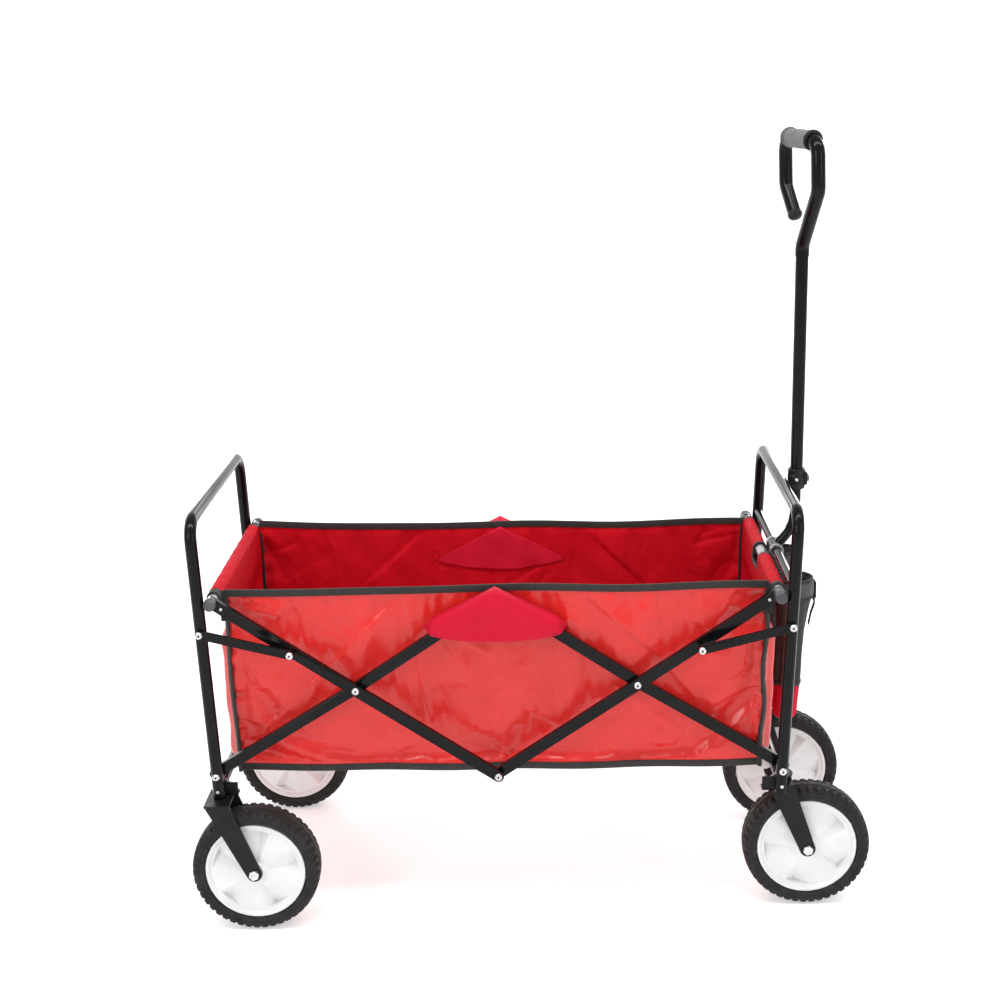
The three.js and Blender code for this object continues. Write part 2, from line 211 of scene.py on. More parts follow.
# --- materials ----------------------------------------------------------------------------
class Look:
    """A material whose colour, roughness and bump come from nodes on object coordinates."""

    def __init__(self, name, color, roughness, metallic=0.0, **sockets):
        self.material = bpy.data.materials.new(name)
        self.material.use_nodes = True
        self.tree = self.material.node_tree
        self.shader = self.tree.nodes["Principled BSDF"]
        self.color = color
        self.set("Base Color", (*color, 1))
        self.set("Roughness", roughness)
        self.set("Metallic", metallic)
        for key, value in sockets.items():
            self.set(key.replace("_", " "), value)
        self.coords = self.node("ShaderNodeTexCoord").outputs["Object"]
        self.height = None

    def set(self, socket, value):
        self.shader.inputs[socket].default_value = value

    def node(self, kind, **values):
        n = self.tree.nodes.new(kind)
        for key, value in values.items():
            if key in n.bl_rna.properties:
                setattr(n, key, value)
            else:
                n.inputs[key.replace("_", " ")].default_value = value
        return n

    def link(self, a, b):
        self.tree.links.new(a, b)

    def math(self, operation, a, b):
        n = self.node("ShaderNodeMath", operation=operation)
        for i, v in enumerate((a, b)):
            if isinstance(v, (int, float)):
                n.inputs[i].default_value = v
            else:
                self.link(v, n.inputs[i])
        return n.outputs[0]

    def noise(self, scale, detail=3.0, distortion=0.0):
        n = self.node("ShaderNodeTexNoise", Scale=scale, Detail=detail, Distortion=distortion)
        self.link(self.coords, n.inputs["Vector"])
        return n.outputs["Fac"]

    def wave(self, scale, axis):
        n = self.node("ShaderNodeTexWave", bands_direction=axis, Scale=scale, Distortion=0.0)
        self.link(self.coords, n.inputs["Vector"])
        return n.outputs["Fac"]

    def voronoi(self, scale):
        n = self.node("ShaderNodeTexVoronoi", feature="DISTANCE_TO_EDGE", Scale=scale)
        self.link(self.coords, n.inputs["Vector"])
        return n.outputs["Distance"]

    def span(self, source, low, high, out_low=0.0, out_high=1.0):
        n = self.node("ShaderNodeMapRange")
        ends = {"From Min": low, "From Max": high, "To Min": out_low, "To Max": out_high}
        for key, value in ends.items():
            n.inputs[key].default_value = value
        self.link(source, n.inputs["Value"])
        return n.outputs["Result"]

    def tint(self, source, *colors):
        """Base colour from a ramp of (position, colour)."""
        n = self.node("ShaderNodeValToRGB")
        ramp = n.color_ramp
        while len(ramp.elements) < len(colors):
            ramp.elements.new(0.5)
        for element, (position, color) in zip(ramp.elements, colors):
            element.position = position
            element.color = (*color, 1)
        self.link(source, n.inputs["Fac"])
        self.link(n.outputs["Color"], self.shader.inputs["Base Color"])
        return self

    def rough(self, source, low, high):
        self.link(self.span(source, 0.3, 0.7, low, high), self.shader.inputs["Roughness"])
        return self

    def raised(self, source, distance, strength=1.0):
        """Adds a bump of that height in millimetres, after any earlier one."""
        n = self.node("ShaderNodeBump", Strength=strength, Distance=distance / 1000)
        self.link(source, n.inputs["Height"])
        if self.height is not None:
            self.link(self.height, n.inputs["Normal"])
        self.height = n.outputs["Normal"]
        self.link(self.height, self.shader.inputs["Normal"])
        return self


def shade(color, factor):
    return tuple(min(1.0, c * factor) for c in color)


def cloth_look(name, color, roughness, thread, weave, spread=0.12, **sockets):
    """Woven or coated cloth: plain weave at the thread pitch, slubs, mottled colour and sheen."""
    look = Look(name, color, roughness, **sockets)
    mottle = look.noise(14, 4)
    fine = look.noise(900, 2)
    mixed = look.math("ADD", look.math("MULTIPLY", mottle, 0.75), look.math("MULTIPLY", fine, 0.25))
    look.tint(mixed, (0.3, shade(color, 1 - spread)), (0.5, color), (0.72, shade(color, 1 + spread)))
    look.rough(look.noise(60, 3), roughness - 0.06, roughness + 0.08)
    period = 6.283 / (20 * thread / 1000)  # Blender's wave texture has 20 / (2 pi) bands per unit.
    threads = look.math("ADD", look.math("ADD", look.wave(period, "X"), look.wave(period, "Y")),
                        look.wave(period, "Z"))
    look.raised(threads, weave)
    look.raised(look.noise(260, 3), weave * 1.5, 0.5)
    return look


RED_COAT = (0.66, 0.020, 0.017)
RED_LINING = (0.52, 0.001, 0.010)
CRIMSON = (0.56, 0.006, 0.030)
TAPE_BLACK = (0.013, 0.012, 0.011)

coated = cloth_look("coated_red", RED_COAT, 0.26, 0.9, 0.008, 0.06, Specular_IOR_Level=0.45)
coated.raised(coated.noise(22, 3, distortion=0.5), 0.4, 0.8)
lining = cloth_look("lining_red", RED_LINING, 0.75, 1.0, 0.05, 0.10, Specular_IOR_Level=0.15)
lining.raised(lining.noise(30, 4), 0.5, 0.5)
crimson = cloth_look("flap_crimson", CRIMSON, 0.7, 1.0, 0.06, 0.10, Specular_IOR_Level=0.15)
crimson.raised(crimson.noise(55, 4), 0.3, 0.5)
tape = cloth_look("binding_tape", TAPE_BLACK, 0.72, 1.3, 0.10, 0.25, Sheen_Weight=0.1)
padding = cloth_look("pocket_padding", (0.050, 0.050, 0.053), 0.7, 1.1, 0.10, 0.2,
                     Sheen_Weight=0.2)
thread_red = cloth_look("stitch_thread_red", shade(CRIMSON, 0.55), 0.7, 0.3, 0.03, 0.2)


def hard_look(name, color, roughness, metallic=0.0, *, stops, gloss, grain, **sockets):
    """Paint, metal, rubber or plastic: mottled colour, uneven gloss and a fine grain.

    stops is (noise scale, detail, *colour stops), gloss is (scale, detail, low, high), and grain
    is (scale, detail, height in mm, strength).
    """
    look = Look(name, color, roughness, metallic, **sockets)
    scale, detail, *colors = stops
    look.tint(look.noise(scale, detail), *colors)
    scale, detail, low, high = gloss
    look.rough(look.noise(scale, detail), low, high)
    scale, detail, height, strength = grain
    return look.raised(look.noise(scale, detail), height, strength)


powder = hard_look(
    "powder_coat_black", (0.004, 0.004, 0.0045), 0.15, Specular_IOR_Level=0.17,
    stops=(25, 5, (0.35, (0.003, 0.003, 0.0035)), (0.6, (0.005, 0.005, 0.0055)),
           (0.78, (0.009, 0.0085, 0.0085))),
    gloss=(45, 4, 0.13, 0.22), grain=(700, 2, 0.012, 0.5))
matte_steel = hard_look(
    "fork_black", (0.006, 0.006, 0.0065), 0.36, Specular_IOR_Level=0.2,
    stops=(40, 5, (0.35, (0.006, 0.006, 0.0065)), (0.7, (0.013, 0.0125, 0.0125))),
    gloss=(80, 4, 0.34, 0.52), grain=(900, 2, 0.04, 0.7))
zinc = hard_look(
    "zinc_plate", (0.72, 0.72, 0.74), 0.3, 1.0,
    stops=(180, 4, (0.3, (0.55, 0.55, 0.57)), (0.7, (0.80, 0.80, 0.82))),
    gloss=(400, 3, 0.2, 0.42), grain=(1500, 2, 0.03, 0.6))
dull_zinc = hard_look(
    "dull_zinc", (0.32, 0.32, 0.33), 0.42, 0.9,
    stops=(120, 4, (0.3, (0.22, 0.22, 0.23)), (0.7, (0.40, 0.40, 0.41))),
    gloss=(300, 3, 0.32, 0.52), grain=(1200, 2, 0.04, 0.6))
rubber = hard_look(
    "tyre_rubber", (0.018, 0.0175, 0.017), 0.6, Specular_IOR_Level=0.2,
    stops=(60, 5, (0.3, (0.013, 0.0125, 0.012)), (0.7, (0.026, 0.025, 0.024))),
    gloss=(90, 4, 0.52, 0.72), grain=(1100, 3, 0.10, 0.6))
white = hard_look(
    "rim_white", (0.74, 0.75, 0.75), 0.34,
    stops=(22, 5, (0.3, (0.68, 0.69, 0.69)), (0.7, (0.78, 0.79, 0.79))),
    gloss=(70, 4, 0.28, 0.42), grain=(800, 2, 0.02, 0.5))
plastic = hard_look(
    "moulded_black", (0.008, 0.008, 0.009), 0.36, Specular_IOR_Level=0.25,
    stops=(70, 4, (0.3, (0.007, 0.007, 0.0075)), (0.7, (0.015, 0.015, 0.0155))),
    gloss=(120, 3, 0.34, 0.48), grain=(1400, 2, 0.05, 0.6))
cap_grey = hard_look(
    "cap_grey", (0.075, 0.078, 0.085), 0.36, 0.35,
    stops=(90, 4, (0.3, (0.055, 0.058, 0.064)), (0.7, (0.10, 0.104, 0.11))),
    gloss=(200, 3, 0.28, 0.44), grain=(1000, 2, 0.04, 0.6))
foam = hard_look(
    "grip_foam", (0.115, 0.118, 0.120), 0.82, Sheen_Weight=0.1,
    stops=(120, 5, (0.3, (0.090, 0.092, 0.094)), (0.7, (0.140, 0.143, 0.145))),
    gloss=(150, 4, 0.74, 0.9), grain=(1300, 4, 0.16, 0.8))

net = Look("pocket_net", (0.020, 0.020, 0.021), 0.78)
# The net is opaque: the dark middles of its cells are painted shade for its holes, where the pocket's
# shaded inside would show; the lighter cell edges are the threads.
cells = net.voronoi(420)
net.tint(cells, (0.0, (0.060, 0.060, 0.062)), (0.10, (0.045, 0.045, 0.047)),
         (0.22, (0.006, 0.006, 0.007)))
net.rough(net.noise(200, 3), 0.7, 0.86)
net.raised(net.span(cells, 0.0, 0.25, 1.0, 0.0), 0.35, 0.9)


def paint(node, look, rounding=0.7):
    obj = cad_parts[node]
    mesh = obj.data
    custom = mesh.attributes.get("custom_normal")
    if custom is not None:
        mesh.attributes.remove(custom)
    mesh.polygons.foreach_set("use_smooth", [True] * len(mesh.polygons))
    mesh.materials.clear()
    mesh.materials.append(look.material)
    weld = obj.modifiers.new("Weld", "WELD")
    weld.merge_threshold = 1e-5
    return bevel(obj, rounding, 2 if rounding < 1 else 4, 38)


# --- camera, lights and floor -------------------------------------------------------------
def look_from(place, yaw, pitch, roll):
    flat_ahead = Vector((math.sin(yaw), math.cos(yaw), 0))
    flat_right = Vector((math.cos(yaw), -math.sin(yaw), 0))
    up = Vector((0, 0, 1))
    ahead = math.cos(pitch) * flat_ahead - math.sin(pitch) * up
    tilted = math.cos(pitch) * up + math.sin(pitch) * flat_ahead
    right = math.cos(roll) * flat_right + math.sin(roll) * tilted
    above = math.cos(roll) * tilted - math.sin(roll) * flat_right
    turn = Matrix((right, above, -ahead)).transposed()
    return Matrix.Translation(place) @ turn.to_4x4()


camera_data = bpy.data.cameras.new("camera")
camera_data.lens = 59.78
camera_data.sensor_width = 36
camera = bpy.data.objects.new("camera", camera_data)
camera.matrix_world = look_from(Vector((0.02338, -2.2118, 1.14956)), -0.02816, 0.2677, -0.02253)
bpy.context.scene.collection.objects.link(camera)
bpy.context.scene.camera = camera
bpy.context.scene.view_settings.view_transform = "Standard"


def area_light(name, place, aim, size_x, size_y, power):
    data = bpy.data.lights.new(name, "AREA")
    data.shape = "RECTANGLE"
    data.size, data.size_y, data.energy = size_x, size_y, power
    light = bpy.data.objects.new(name, data)
    turn = (Vector(aim) - Vector(place)).to_track_quat("-Z", "Y").to_matrix().to_4x4()
    light.matrix_world = Matrix.Translation(place) @ turn
    bpy.context.scene.collection.objects.link(light)


area_light("overhead", (0.1, -0.75, 2.7), (0, -0.1, 0.3), 4.2, 0.4, 56)
area_light("key", (-1.9, -2.5, 1.7), (0, 0, 0.35), 0.5, 1.3, 20)
area_light("fill", (2.3, -2.0, 1.4), (0, 0, 0.4), 0.3, 1.5, 9)
area_light("rim", (0.4, 2.4, 1.9), (0, 0, 0.4), 2.0, 0.6, 12)
area_light("back_left", (-0.95, 3.1, 0.85), (0, 0, 0.35), 1.5, 0.6, 24)
area_light("back_right", (0.95, 3.1, 0.85), (0, 0, 0.35), 1.5, 0.6, 24)

world = bpy.data.worlds.new("studio")
world.use_nodes = True
world.node_tree.nodes["Background"].inputs["Color"].default_value = (1.0, 1.0, 1.0, 1)
world.node_tree.nodes["Background"].inputs["Strength"].default_value = 0.62
bpy.context.scene.world = world

studio_floor = Look("studio_floor", (0.8, 0.8, 0.8), 0.6,
                    Emission_Color=(1, 1, 1, 1), Emission_Strength=0.42)
studio_floor.tint(studio_floor.noise(3, 3), (0.3, (0.79, 0.79, 0.79)), (0.7, (0.81, 0.81, 0.81)))
SWEEP_NEAR, SWEEP_FLAT, SWEEP_BEND, SWEEP_TOP, SWEEP_HALF = -6000.0, 2200.0, 900.0, 5200.0, 7000.0
SWEEP_STEPS = 24
sweep_profile = [(SWEEP_NEAR, 0.0), (SWEEP_FLAT, 0.0)]
for k in range(1, SWEEP_STEPS + 1):
    turn_angle = math.pi / 2 * k / SWEEP_STEPS
    sweep_profile.append((SWEEP_FLAT + SWEEP_BEND * math.sin(turn_angle),
                          SWEEP_BEND - SWEEP_BEND * math.cos(turn_angle)))
sweep_profile.append((SWEEP_FLAT + SWEEP_BEND, SWEEP_TOP))
sweep_grid = np.array([[(x, y, z) for x in (-SWEEP_HALF, SWEEP_HALF)] for y, z in sweep_profile])
backdrop = grid_object("studio_sweep", sweep_grid, studio_floor.material)

# --- frame pieces that come from CAD ------------------------------------------------------
for node_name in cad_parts:
    if node_name.endswith(("_tyre", "_rim", "_cap_near", "_cap_far")) or "pocket" in node_name:
        continue
    if node_name in ("tub_fabric", "grip", "handle_collar"):
        continue
    if "fork" in node_name or "bracket" in node_name:
        paint(node_name, matte_steel)
    elif node_name.endswith("_axle") or "_pin_" in node_name:
        paint(node_name, zinc)
    elif node_name.endswith("_rail"):
        paint(node_name, dull_zinc)
    elif "_arm_" in node_name:
        paint(node_name, powder, 2.7)
    elif "_link_" in node_name:
        paint(node_name, powder, 1.1)
    else:
        paint(node_name, powder)


# --- wheels -------------------------------------------------------------------------------
def tread_depth(angle, across):
    """Depth of the tread pattern in mm at an angle and a place across the tyre."""
    blocks = 46
    side = np.sign(across)
    phase = angle * blocks / (2 * np.pi) + 0.25 * side
    shoulder = (np.abs(across) > 11.5) & (np.abs(across) < 21.4)
    notch = (np.abs((phase % 1) - 0.5) < 0.17) & shoulder
    zigzag = 5.2 * (np.abs((angle * blocks / (2 * np.pi)) % 1 - 0.5) * 4 - 1)
    groove = np.abs(np.abs(across) - 7.2 - 0.35 * zigzag * side) < 1.3
    return np.where(notch, 2.1, 0.0) + np.where(groove & (np.abs(across) < 12.5), 1.7, 0.0)


def make_tyre(label, x, y, body):
    bead, wide = RIM_R + 0.8, 22.0
    half = [(bead, 16.5), (69.6, 18.8), (70.6, 19.4), (71.4, 20.4), (74.2, 21.4), (74.9, 20.9),
            (75.6, 21.5), (78.0, 21.9), (78.6, 21.4), (79.4, 21.5), (81.6, 20.6), (83.2, 19.2),
            (84.4, 17.2), (85.0, 15.0), (85.4, 12.6), (85.6, 10.6), (85.8, 8.6), (85.9, 6.6),
            (86.0, 4.8), (86.0, 2.4)]
    mirrored = [(r, -o) for r, o in half] + [(WHEEL_R, 0.0)] + half[::-1]
    profile = np.array(mirrored)
    count = 276
    angles = np.linspace(0, 2 * np.pi, count, endpoint=False)
    radius = np.repeat(profile[:, :1], count, 1)
    across = np.repeat(profile[:, 1:], count, 1)
    depth = tread_depth(angles[None, :], across)
    radius = np.where(radius > 79, radius - depth, radius)
    shoulder = (radius < 84) & (radius > 79)
    across = np.where(shoulder, across * (1 - 0.25 * depth / wide), across)
    grid = np.stack([x + radius * np.cos(angles), y + across, WHEEL_R + radius * np.sin(angles)], -1)
    tyre = grid_object(f"tyre_{label}", grid, rubber.material, close_rows=True, close_columns=True)
    sharpen(outward(tyre), 40)
    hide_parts(f"{label}_tyre")
    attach(tyre, body)


def make_rim(label, x, y, body, spin):
    """Moulded disc: five flat spokes and, between them, five recesses with a V-shaped floor."""
    radii = np.array([5.6, 9, 12.2, 13.2, 14.2, 15.2, 16.2, 18.5, 22, 27, 33, 39, 45, 50, 54, 56.5,
                      57.8, 58.8, 60.5, 62.2, 63.0, 64.0, 65.2, 66.4, RIM_R])
    sector = math.radians(36)
    offsets = np.array([0.0, 0.012, 0.10, 0.22, 0.33, 0.345, 0.36, 0.5, 0.65, 0.8, 0.92, 0.978,
                        0.99, 1.0])
    one = np.concatenate([offsets * sector, sector + np.array([0.25, 0.5, 0.75]) * sector])
    angles = np.concatenate([2 * sector * k + one for k in range(5)])
    into = np.concatenate([offsets, np.full(3, -1.0)])
    into = np.tile(into, 5)
    valley = 0.345
    slope = np.where(into < valley, into / valley, (1 - into) / (1 - valley))
    drop = np.where(into < 0, 0, slope)
    drop = np.clip(drop, 0, 1)
    face = []
    for r in radii:
        if r <= 12.2:
            plane = 21.6
        elif r <= 15.2:
            plane = 21.6 - 3.2 * (r - 12.2) / 3.0
        elif r < 58.0:
            plane = 18.2 - 3.6 * ((r - 15.2) / 42.0)
        elif r < 62.2:
            plane = 14.4
        elif r <= 63.0:
            plane = 16.6
        else:
            plane = 18.2 - 0.25 * abs(r - 65.0)
        deep = 0.0
        if 18 <= r <= 56.6:
            deep = 1.2 + 8.4 * ((r - 18) / 38.6) ** 1.1
        face.append(plane - deep * drop)
    face = np.array(face)
    grid = []
    for row, r in zip(face, radii):
        grid.append(np.stack([r * np.cos(angles + spin), -row, r * np.sin(angles + spin)], -1))
    for row, r in zip(face[::-1], radii[::-1]):
        grid.append(np.stack([r * np.cos(angles + spin), row, r * np.sin(angles + spin)], -1))
    grid = np.array(grid) + np.array([x, y, WHEEL_R])
    rim = grid_object(f"rim_{label}", grid, white.material, close_rows=True, close_columns=True)
    sharpen(outward(rim), 24)
    bevel(rim, 0.35, 2, 40)
    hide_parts(f"{label}_rim")
    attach(rim, body)


def hex_bolt(name, x, y, side, body):
    """Hexagon head with a turned washer face, on the outside of a fork."""
    angles = np.linspace(0, 2 * np.pi, 6, endpoint=False) + 0.3
    rings = [(7.3, 0.2), (7.3, 3.6), (6.5, 4.6), (3.4, 4.7), (2.8, 4.2), (0.6, 4.2)]
    grid = np.array([
        [(x + r * math.cos(a), y + side * h, WHEEL_R + r * math.sin(a)) for a in angles]
        for r, h in rings
    ])
    faces = grid_faces(len(rings), 6, close_columns=True)
    faces.append(tuple(range(6)))
    faces.append(tuple(range(30, 36)))
    bolt = bevel(outward(mesh_object(name, grid, faces, zinc.material, smooth=False)), 0.3, 2, 25)
    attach(bolt, body)


FORK_FACE = 27.2
SPIN = {"rear_near": math.radians(68), "rear_far": math.radians(20),
        "front_near": math.radians(97), "front_far": math.radians(50)}
for label, (wheel_x, wheel_y) in WHEELS.items():
    end_name, side_name = label.split("_")
    wheel_body = f"{end_name}_wheel_{side_name}"
    make_tyre(label, wheel_x, wheel_y, wheel_body)
    make_rim(label, wheel_x, wheel_y, wheel_body, SPIN[label])
    fork_body = "rear_frame" if end_name == "rear" else f"caster_{side_name}"
    for face_name, face_side in (("a", -1), ("b", 1)):
        hex_bolt(f"axle_bolt_{label}_{face_name}", wheel_x, wheel_y + face_side * FORK_FACE,
                 face_side, fork_body)


# --- rivets -------------------------------------------------------------------------------
def rivet_dome(name, x, y, z, side, body, radius=5.15, height=3.4):
    """Tubular rivet: a rolled dome round a black disc, painted shade for the hole in its middle."""
    k = radius / 5.4
    profile = [(5.4, 0.0), (5.4, 0.7), (5.1, 1.7), (4.4, 2.6), (3.4, 3.2), (2.6, 3.3), (2.0, 3.1),
               (1.7, 2.85), (0.05, 2.85)]
    rings = [(r * k, y + side * h * height / 3.3) for r, h in profile]
    dome = turned(name, rings, x, z, 20, zinc.material)
    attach(dome, body)
    # Black disc in the dome's middle: painted shade standing in for the rivet's hole.
    plug = [(1.5 * k, 2.7), (1.4 * k, 3.0), (0.05, 3.0)]
    hollow_shade_disc = turned(name + "_hollow", [(r, y + side * h * height / 3.3) for r, h in plug],
                    x, z, 12, plastic.material)
    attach(hollow_shade_disc, body)


link_angle = math.atan2(RAIL_Z - CROSS_Z, RAIL_X - CROSS_X)
LINK_PIN = (CROSS_X + LINK_REACH * math.cos(link_angle), CROSS_Z + LINK_REACH * math.sin(link_angle))
for side_name, side in SIDES:
    for end_name, end in ENDS:
        tag = f"{end_name}_{side_name}"
        lower_face = (MIDDLE_Y if end < 0 else INNER_Y) - ARM_HALF
        upper_face = (OUTER_Y if end < 0 else MIDDLE_Y) + ARM_HALF
        frame_body = f"{end_name}_frame"
        arm_body = f"{end_name}_upper_arms"
        link_body = f"{end_name}_links"
        post_face, link_face = POST_Y + TUBE_R, side * (LINK_FACE + 1.2)
        foot_x, cross_x = end * PIVOT_X, end * CROSS_X
        rivet_dome(f"rivet_foot_{tag}", foot_x, side * post_face, PIVOT_Z, side, frame_body)
        rivet_dome(f"rivet_foot_inside_{tag}", foot_x, side * lower_face, PIVOT_Z, -side, frame_body)
        rivet_dome(f"rivet_cross_{tag}", cross_x, side * upper_face, CROSS_Z, side, arm_body)
        rivet_dome(f"rivet_cross_inside_{tag}", cross_x, side * lower_face, CROSS_Z, -side, arm_body)
        rivet_dome(f"rivet_link_arm_{tag}", end * LINK_PIN[0], link_face, LINK_PIN[1], side, link_body)
        rivet_dome(f"rivet_link_post_{tag}", end * post_x(LINK_POST_Z), link_face, LINK_POST_Z,
                   side, link_body)
        small_x = end * (RAIL_X - 15 * math.cos(link_angle))
        small_z = RAIL_Z - 15 * math.sin(link_angle)
        rivet_dome(f"rivet_rail_{tag}", small_x, side * upper_face, small_z, side, arm_body, 2.3, 1.2)
        rivet_dome(f"rivet_post_low_{tag}", end * post_x(196), side * (post_face - 0.2), 197,
                   side, frame_body, 2.4, 1.2)
    bottom_z = CROSS_Z - CROSS_RISE
    rivet_dome(f"rivet_bottom_{side_name}", 0, side * (OUTER_Y + ARM_HALF), bottom_z,
               side, "rear_upper_arms")
    rivet_dome(f"rivet_bottom_inside_{side_name}", 0, side * (MIDDLE_Y - ARM_HALF), bottom_z,
               -side, "rear_upper_arms")

# --- rail end caps ------------------------------------------------------------------------
for end_name, end in ENDS:
    layer = OUTER_Y if end < 0 else MIDDLE_Y
    for side_name, side in SIDES:
        base = layer + ARM_HALF + 0.3
        rings = [(3.4, base), (7.9, base), (7.9, 186.5), (8.3, 187.0), (8.3, 188.4), (7.9, 189.0),
                 (7.9, 194.2), (7.5, 195.6), (6.4, 196.6), (4.9, 196.9), (4.5, 196.5), (0.1, 196.4)]
        rings = [(r, side * yy) for r, yy in rings if yy >= base]
        cap = turned(f"rail_cap_{end_name}_{side_name}", rings, end * RAIL_X, RAIL_Z, 28,
                     cap_grey.material)
        sharpen(cap, 40)
        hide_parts(f"{end_name}_rail_cap_{side_name}")
        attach(cap, f"{end_name}_rail")


def folds_with_frame(obj):
    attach(obj, "rear_rail")
    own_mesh(obj)


def refine(grid):
    """Doubles a grid of points along both ways with cubic midpoints."""
    for axis in (0, 1):
        g = np.moveaxis(grid, axis, 0)
        padded = np.concatenate([2 * g[:1] - g[1:2], g, 2 * g[-1:] - g[-2:-1]])
        mid = (9 * (padded[1:-2] + padded[2:-1]) - padded[:-3] - padded[3:]) / 16
        out = np.empty((2 * len(g) - 1,) + g.shape[1:])
        out[0::2], out[1::2] = g, mid
        grid = np.moveaxis(out, 0, axis)
    return grid


def ripple(s, t, count, shortest, longest, heading=None, spread=math.pi):
    """Smooth irregular waves over (s, t) in mm, about 1 high."""
    total = np.zeros(np.broadcast(s, t).shape)
    for _ in range(count):
        length = rng.uniform(shortest, longest)
        angle = (heading if heading is not None else 0) + rng.uniform(-spread, spread)
        phase = rng.uniform(0, 2 * math.pi)
        total += np.sin(2 * math.pi * (s * math.cos(angle) + t * math.sin(angle)) / length + phase)
    return total / math.sqrt(count)


def crease(s, t, start, end, height, width, edge=0.0):
    """A pressed fold line: a ridge that fades at both ends, with a step of "edge" across it."""
    a, b = np.array(start, float), np.array(end, float)
    along = b - a
    length = np.linalg.norm(along)
    along /= length
    u = (s - a[0]) * along[0] + (t - a[1]) * along[1]
    v = (s - a[0]) * -along[1] + (t - a[1]) * along[0]
    fade = np.clip(np.minimum(u, length - u) / (0.22 * length) + 0.35, 0, 1)
    fade = fade * fade * (3 - 2 * fade)
    ridge = height * np.exp(-np.abs(v) / width)
    step = edge * np.tanh(v / width) * np.exp(-np.abs(v) / (6 * width))
    return fade * (ridge + step)


def pucker(s, t, place, reach, spacing, height, seed_phase=0.0):
    """Short gathers that run up from a hem at t = place."""
    local = np.clip(1 - (t - place) / reach, 0, 1) ** 2
    return height * local * (np.sin(2 * math.pi * s / spacing + seed_phase + 1.7 * np.sin(s / 61.0))
                             + 0.6 * np.sin(2 * math.pi * s / (0.57 * spacing) + 2.0 * np.sin(s / 43.0)))


def settle(points, pinned, steps=22, slack=0.012):
    """Lets a wall relax as cloth cut slightly too large for its frame, held along its seams."""
    rows, columns = points.shape[:2]
    obj = mesh_object("cloth_trial", points, grid_faces(rows, columns), coated.material)
    group = obj.vertex_groups.new(name="held")
    group.add([int(i) for i in np.nonzero(pinned.ravel())[0]], 1.0, "REPLACE")
    m = obj.modifiers.new("Cloth", "CLOTH")
    m.settings.vertex_group_mass = "held"
    m.settings.quality = 6
    m.settings.mass = 0.25
    m.settings.tension_stiffness = 30
    m.settings.compression_stiffness = 30
    m.settings.shear_stiffness = 20
    m.settings.bending_stiffness = 3.0
    m.settings.tension_damping = 8
    m.settings.bending_damping = 2
    m.settings.air_damping = 2
    m.settings.shrink_min = -slack
    m.settings.effector_weights.gravity = 0.6
    m.collision_settings.use_collision = False
    m.point_cache.frame_start = 1
    m.point_cache.frame_end = steps
    for step in range(1, steps + 1):
        bpy.context.scene.frame_set(step)
    evaluated = obj.evaluated_get(bpy.context.evaluated_depsgraph_get())
    co = np.zeros(len(evaluated.data.vertices) * 3)
    evaluated.data.vertices.foreach_get("co", co)
    bpy.data.objects.remove(obj)
    bpy.context.scene.frame_set(1)
    moved = co.reshape(rows, columns, 3) * 1000
    moved[..., 0] += MIDDLE
    shift = np.clip(moved - points, -9.0, 9.0)
    return points + shift


def wall_half_width(z):
    down = (RIM_Z - z) / (RIM_Z - BASE_Z)
    return TUB_Y + (TUB_BASE_Y - TUB_Y) * down


def wall_half_length(z):
    down = (RIM_Z - z) / (RIM_Z - BASE_Z)
    return TUB_X + (TUB_BASE_X - TUB_X) * down


def edge_fade(distance, reach):
    f = np.clip(distance / reach, 0, 1)
    return f * f * (3 - 2 * f)


def rim_line(s, side):
    """Height of the rim along a side: it hangs a little between its ends and its middle."""
    hang = RIM_Z - 2.6 * np.sin(math.pi * np.abs(s) / TUB_X) ** 2 + 0.7 * np.sin(s / 37.0)
    towards_rear = np.clip(-s / TUB_X, 0, 1) ** 2
    return hang + towards_rear * (6.0 if side > 0 else -3.0)


def base_line(s):
    return BASE_Z + 1.0 + 2.6 * (np.abs(s) / TUB_X) ** 2 + 0.9 * np.sin(s / 29.0 + 0.8)


# Fold lines of the near wall as (start, end, height, width, edge step).
SIDE_CREASES = (
    ((-120, 462), (-112, 414), 1.6, 2.6, 0.6), ((-112, 414), (-90, 258), 2.6, 3.2, 1.2),
    ((-132, 448), (-262, 318), 1.8, 4.2, 2.2), ((-262, 318), (-326, 256), 1.6, 4.0, 1.6),
    ((-62, 402), (-4, 368), 2.0, 3.2, 1.2), ((-74, 392), (-34, 346), 1.6, 3.2, 0.9),
    ((112, 458), (206, 374), 2.0, 3.6, 1.8), ((206, 374), (268, 300), 1.4, 4.0, 1.4),
    ((96, 425), (84, 398), 2.0, 2.4, 0.8), ((11, 396), (13, 340), 1.6, 2.6, 0.5),
    ((98, 390), (96, 290), 1.2, 3.0, 0.8), ((286, 330), (344, 352), 2.4, 5.0, 1.4),
    ((280, 298), (348, 324), 3.0, 5.5, 1.8), ((256, 260), (312, 302), 2.8, 5.5, 1.6),
    ((232, 236), (264, 282), 2.6, 5.0, 1.5), ((300, 250), (346, 292), 2.4, 4.5, 1.2),
    ((-352, 324), (-300, 332), 2.2, 4.2, 1.0), ((-352, 286), (-304, 272), 2.2, 4.0, 1.0),
    ((-352, 248), (-306, 262), 1.8, 4.2, 0.9), ((-352, 446), (-284, 430), 2.4, 5.0, 1.2),
    ((-344, 462), (-296, 444), 1.8, 4.0, 1.0), ((20, 300), (150, 232), 1.6, 7.0, 2.0),
    ((-60, 330), (60, 320), 1.4, 8.0, 1.8), ((-240, 238), (-150, 222), 1.9, 5.0, 1.2),
    ((150, 330), (230, 262), 1.2, 5.0, 1.6), ((-230, 400), (-180, 300), 1.0, 6.0, 1.4),
    ((-30, 260), (30, 226), 1.6, 4.5, 1.0), ((300, 440), (346, 424), 2.0, 4.6, 1.0),
    ((250, 420), (330, 380), 1.0, 6.0, 1.2),
)


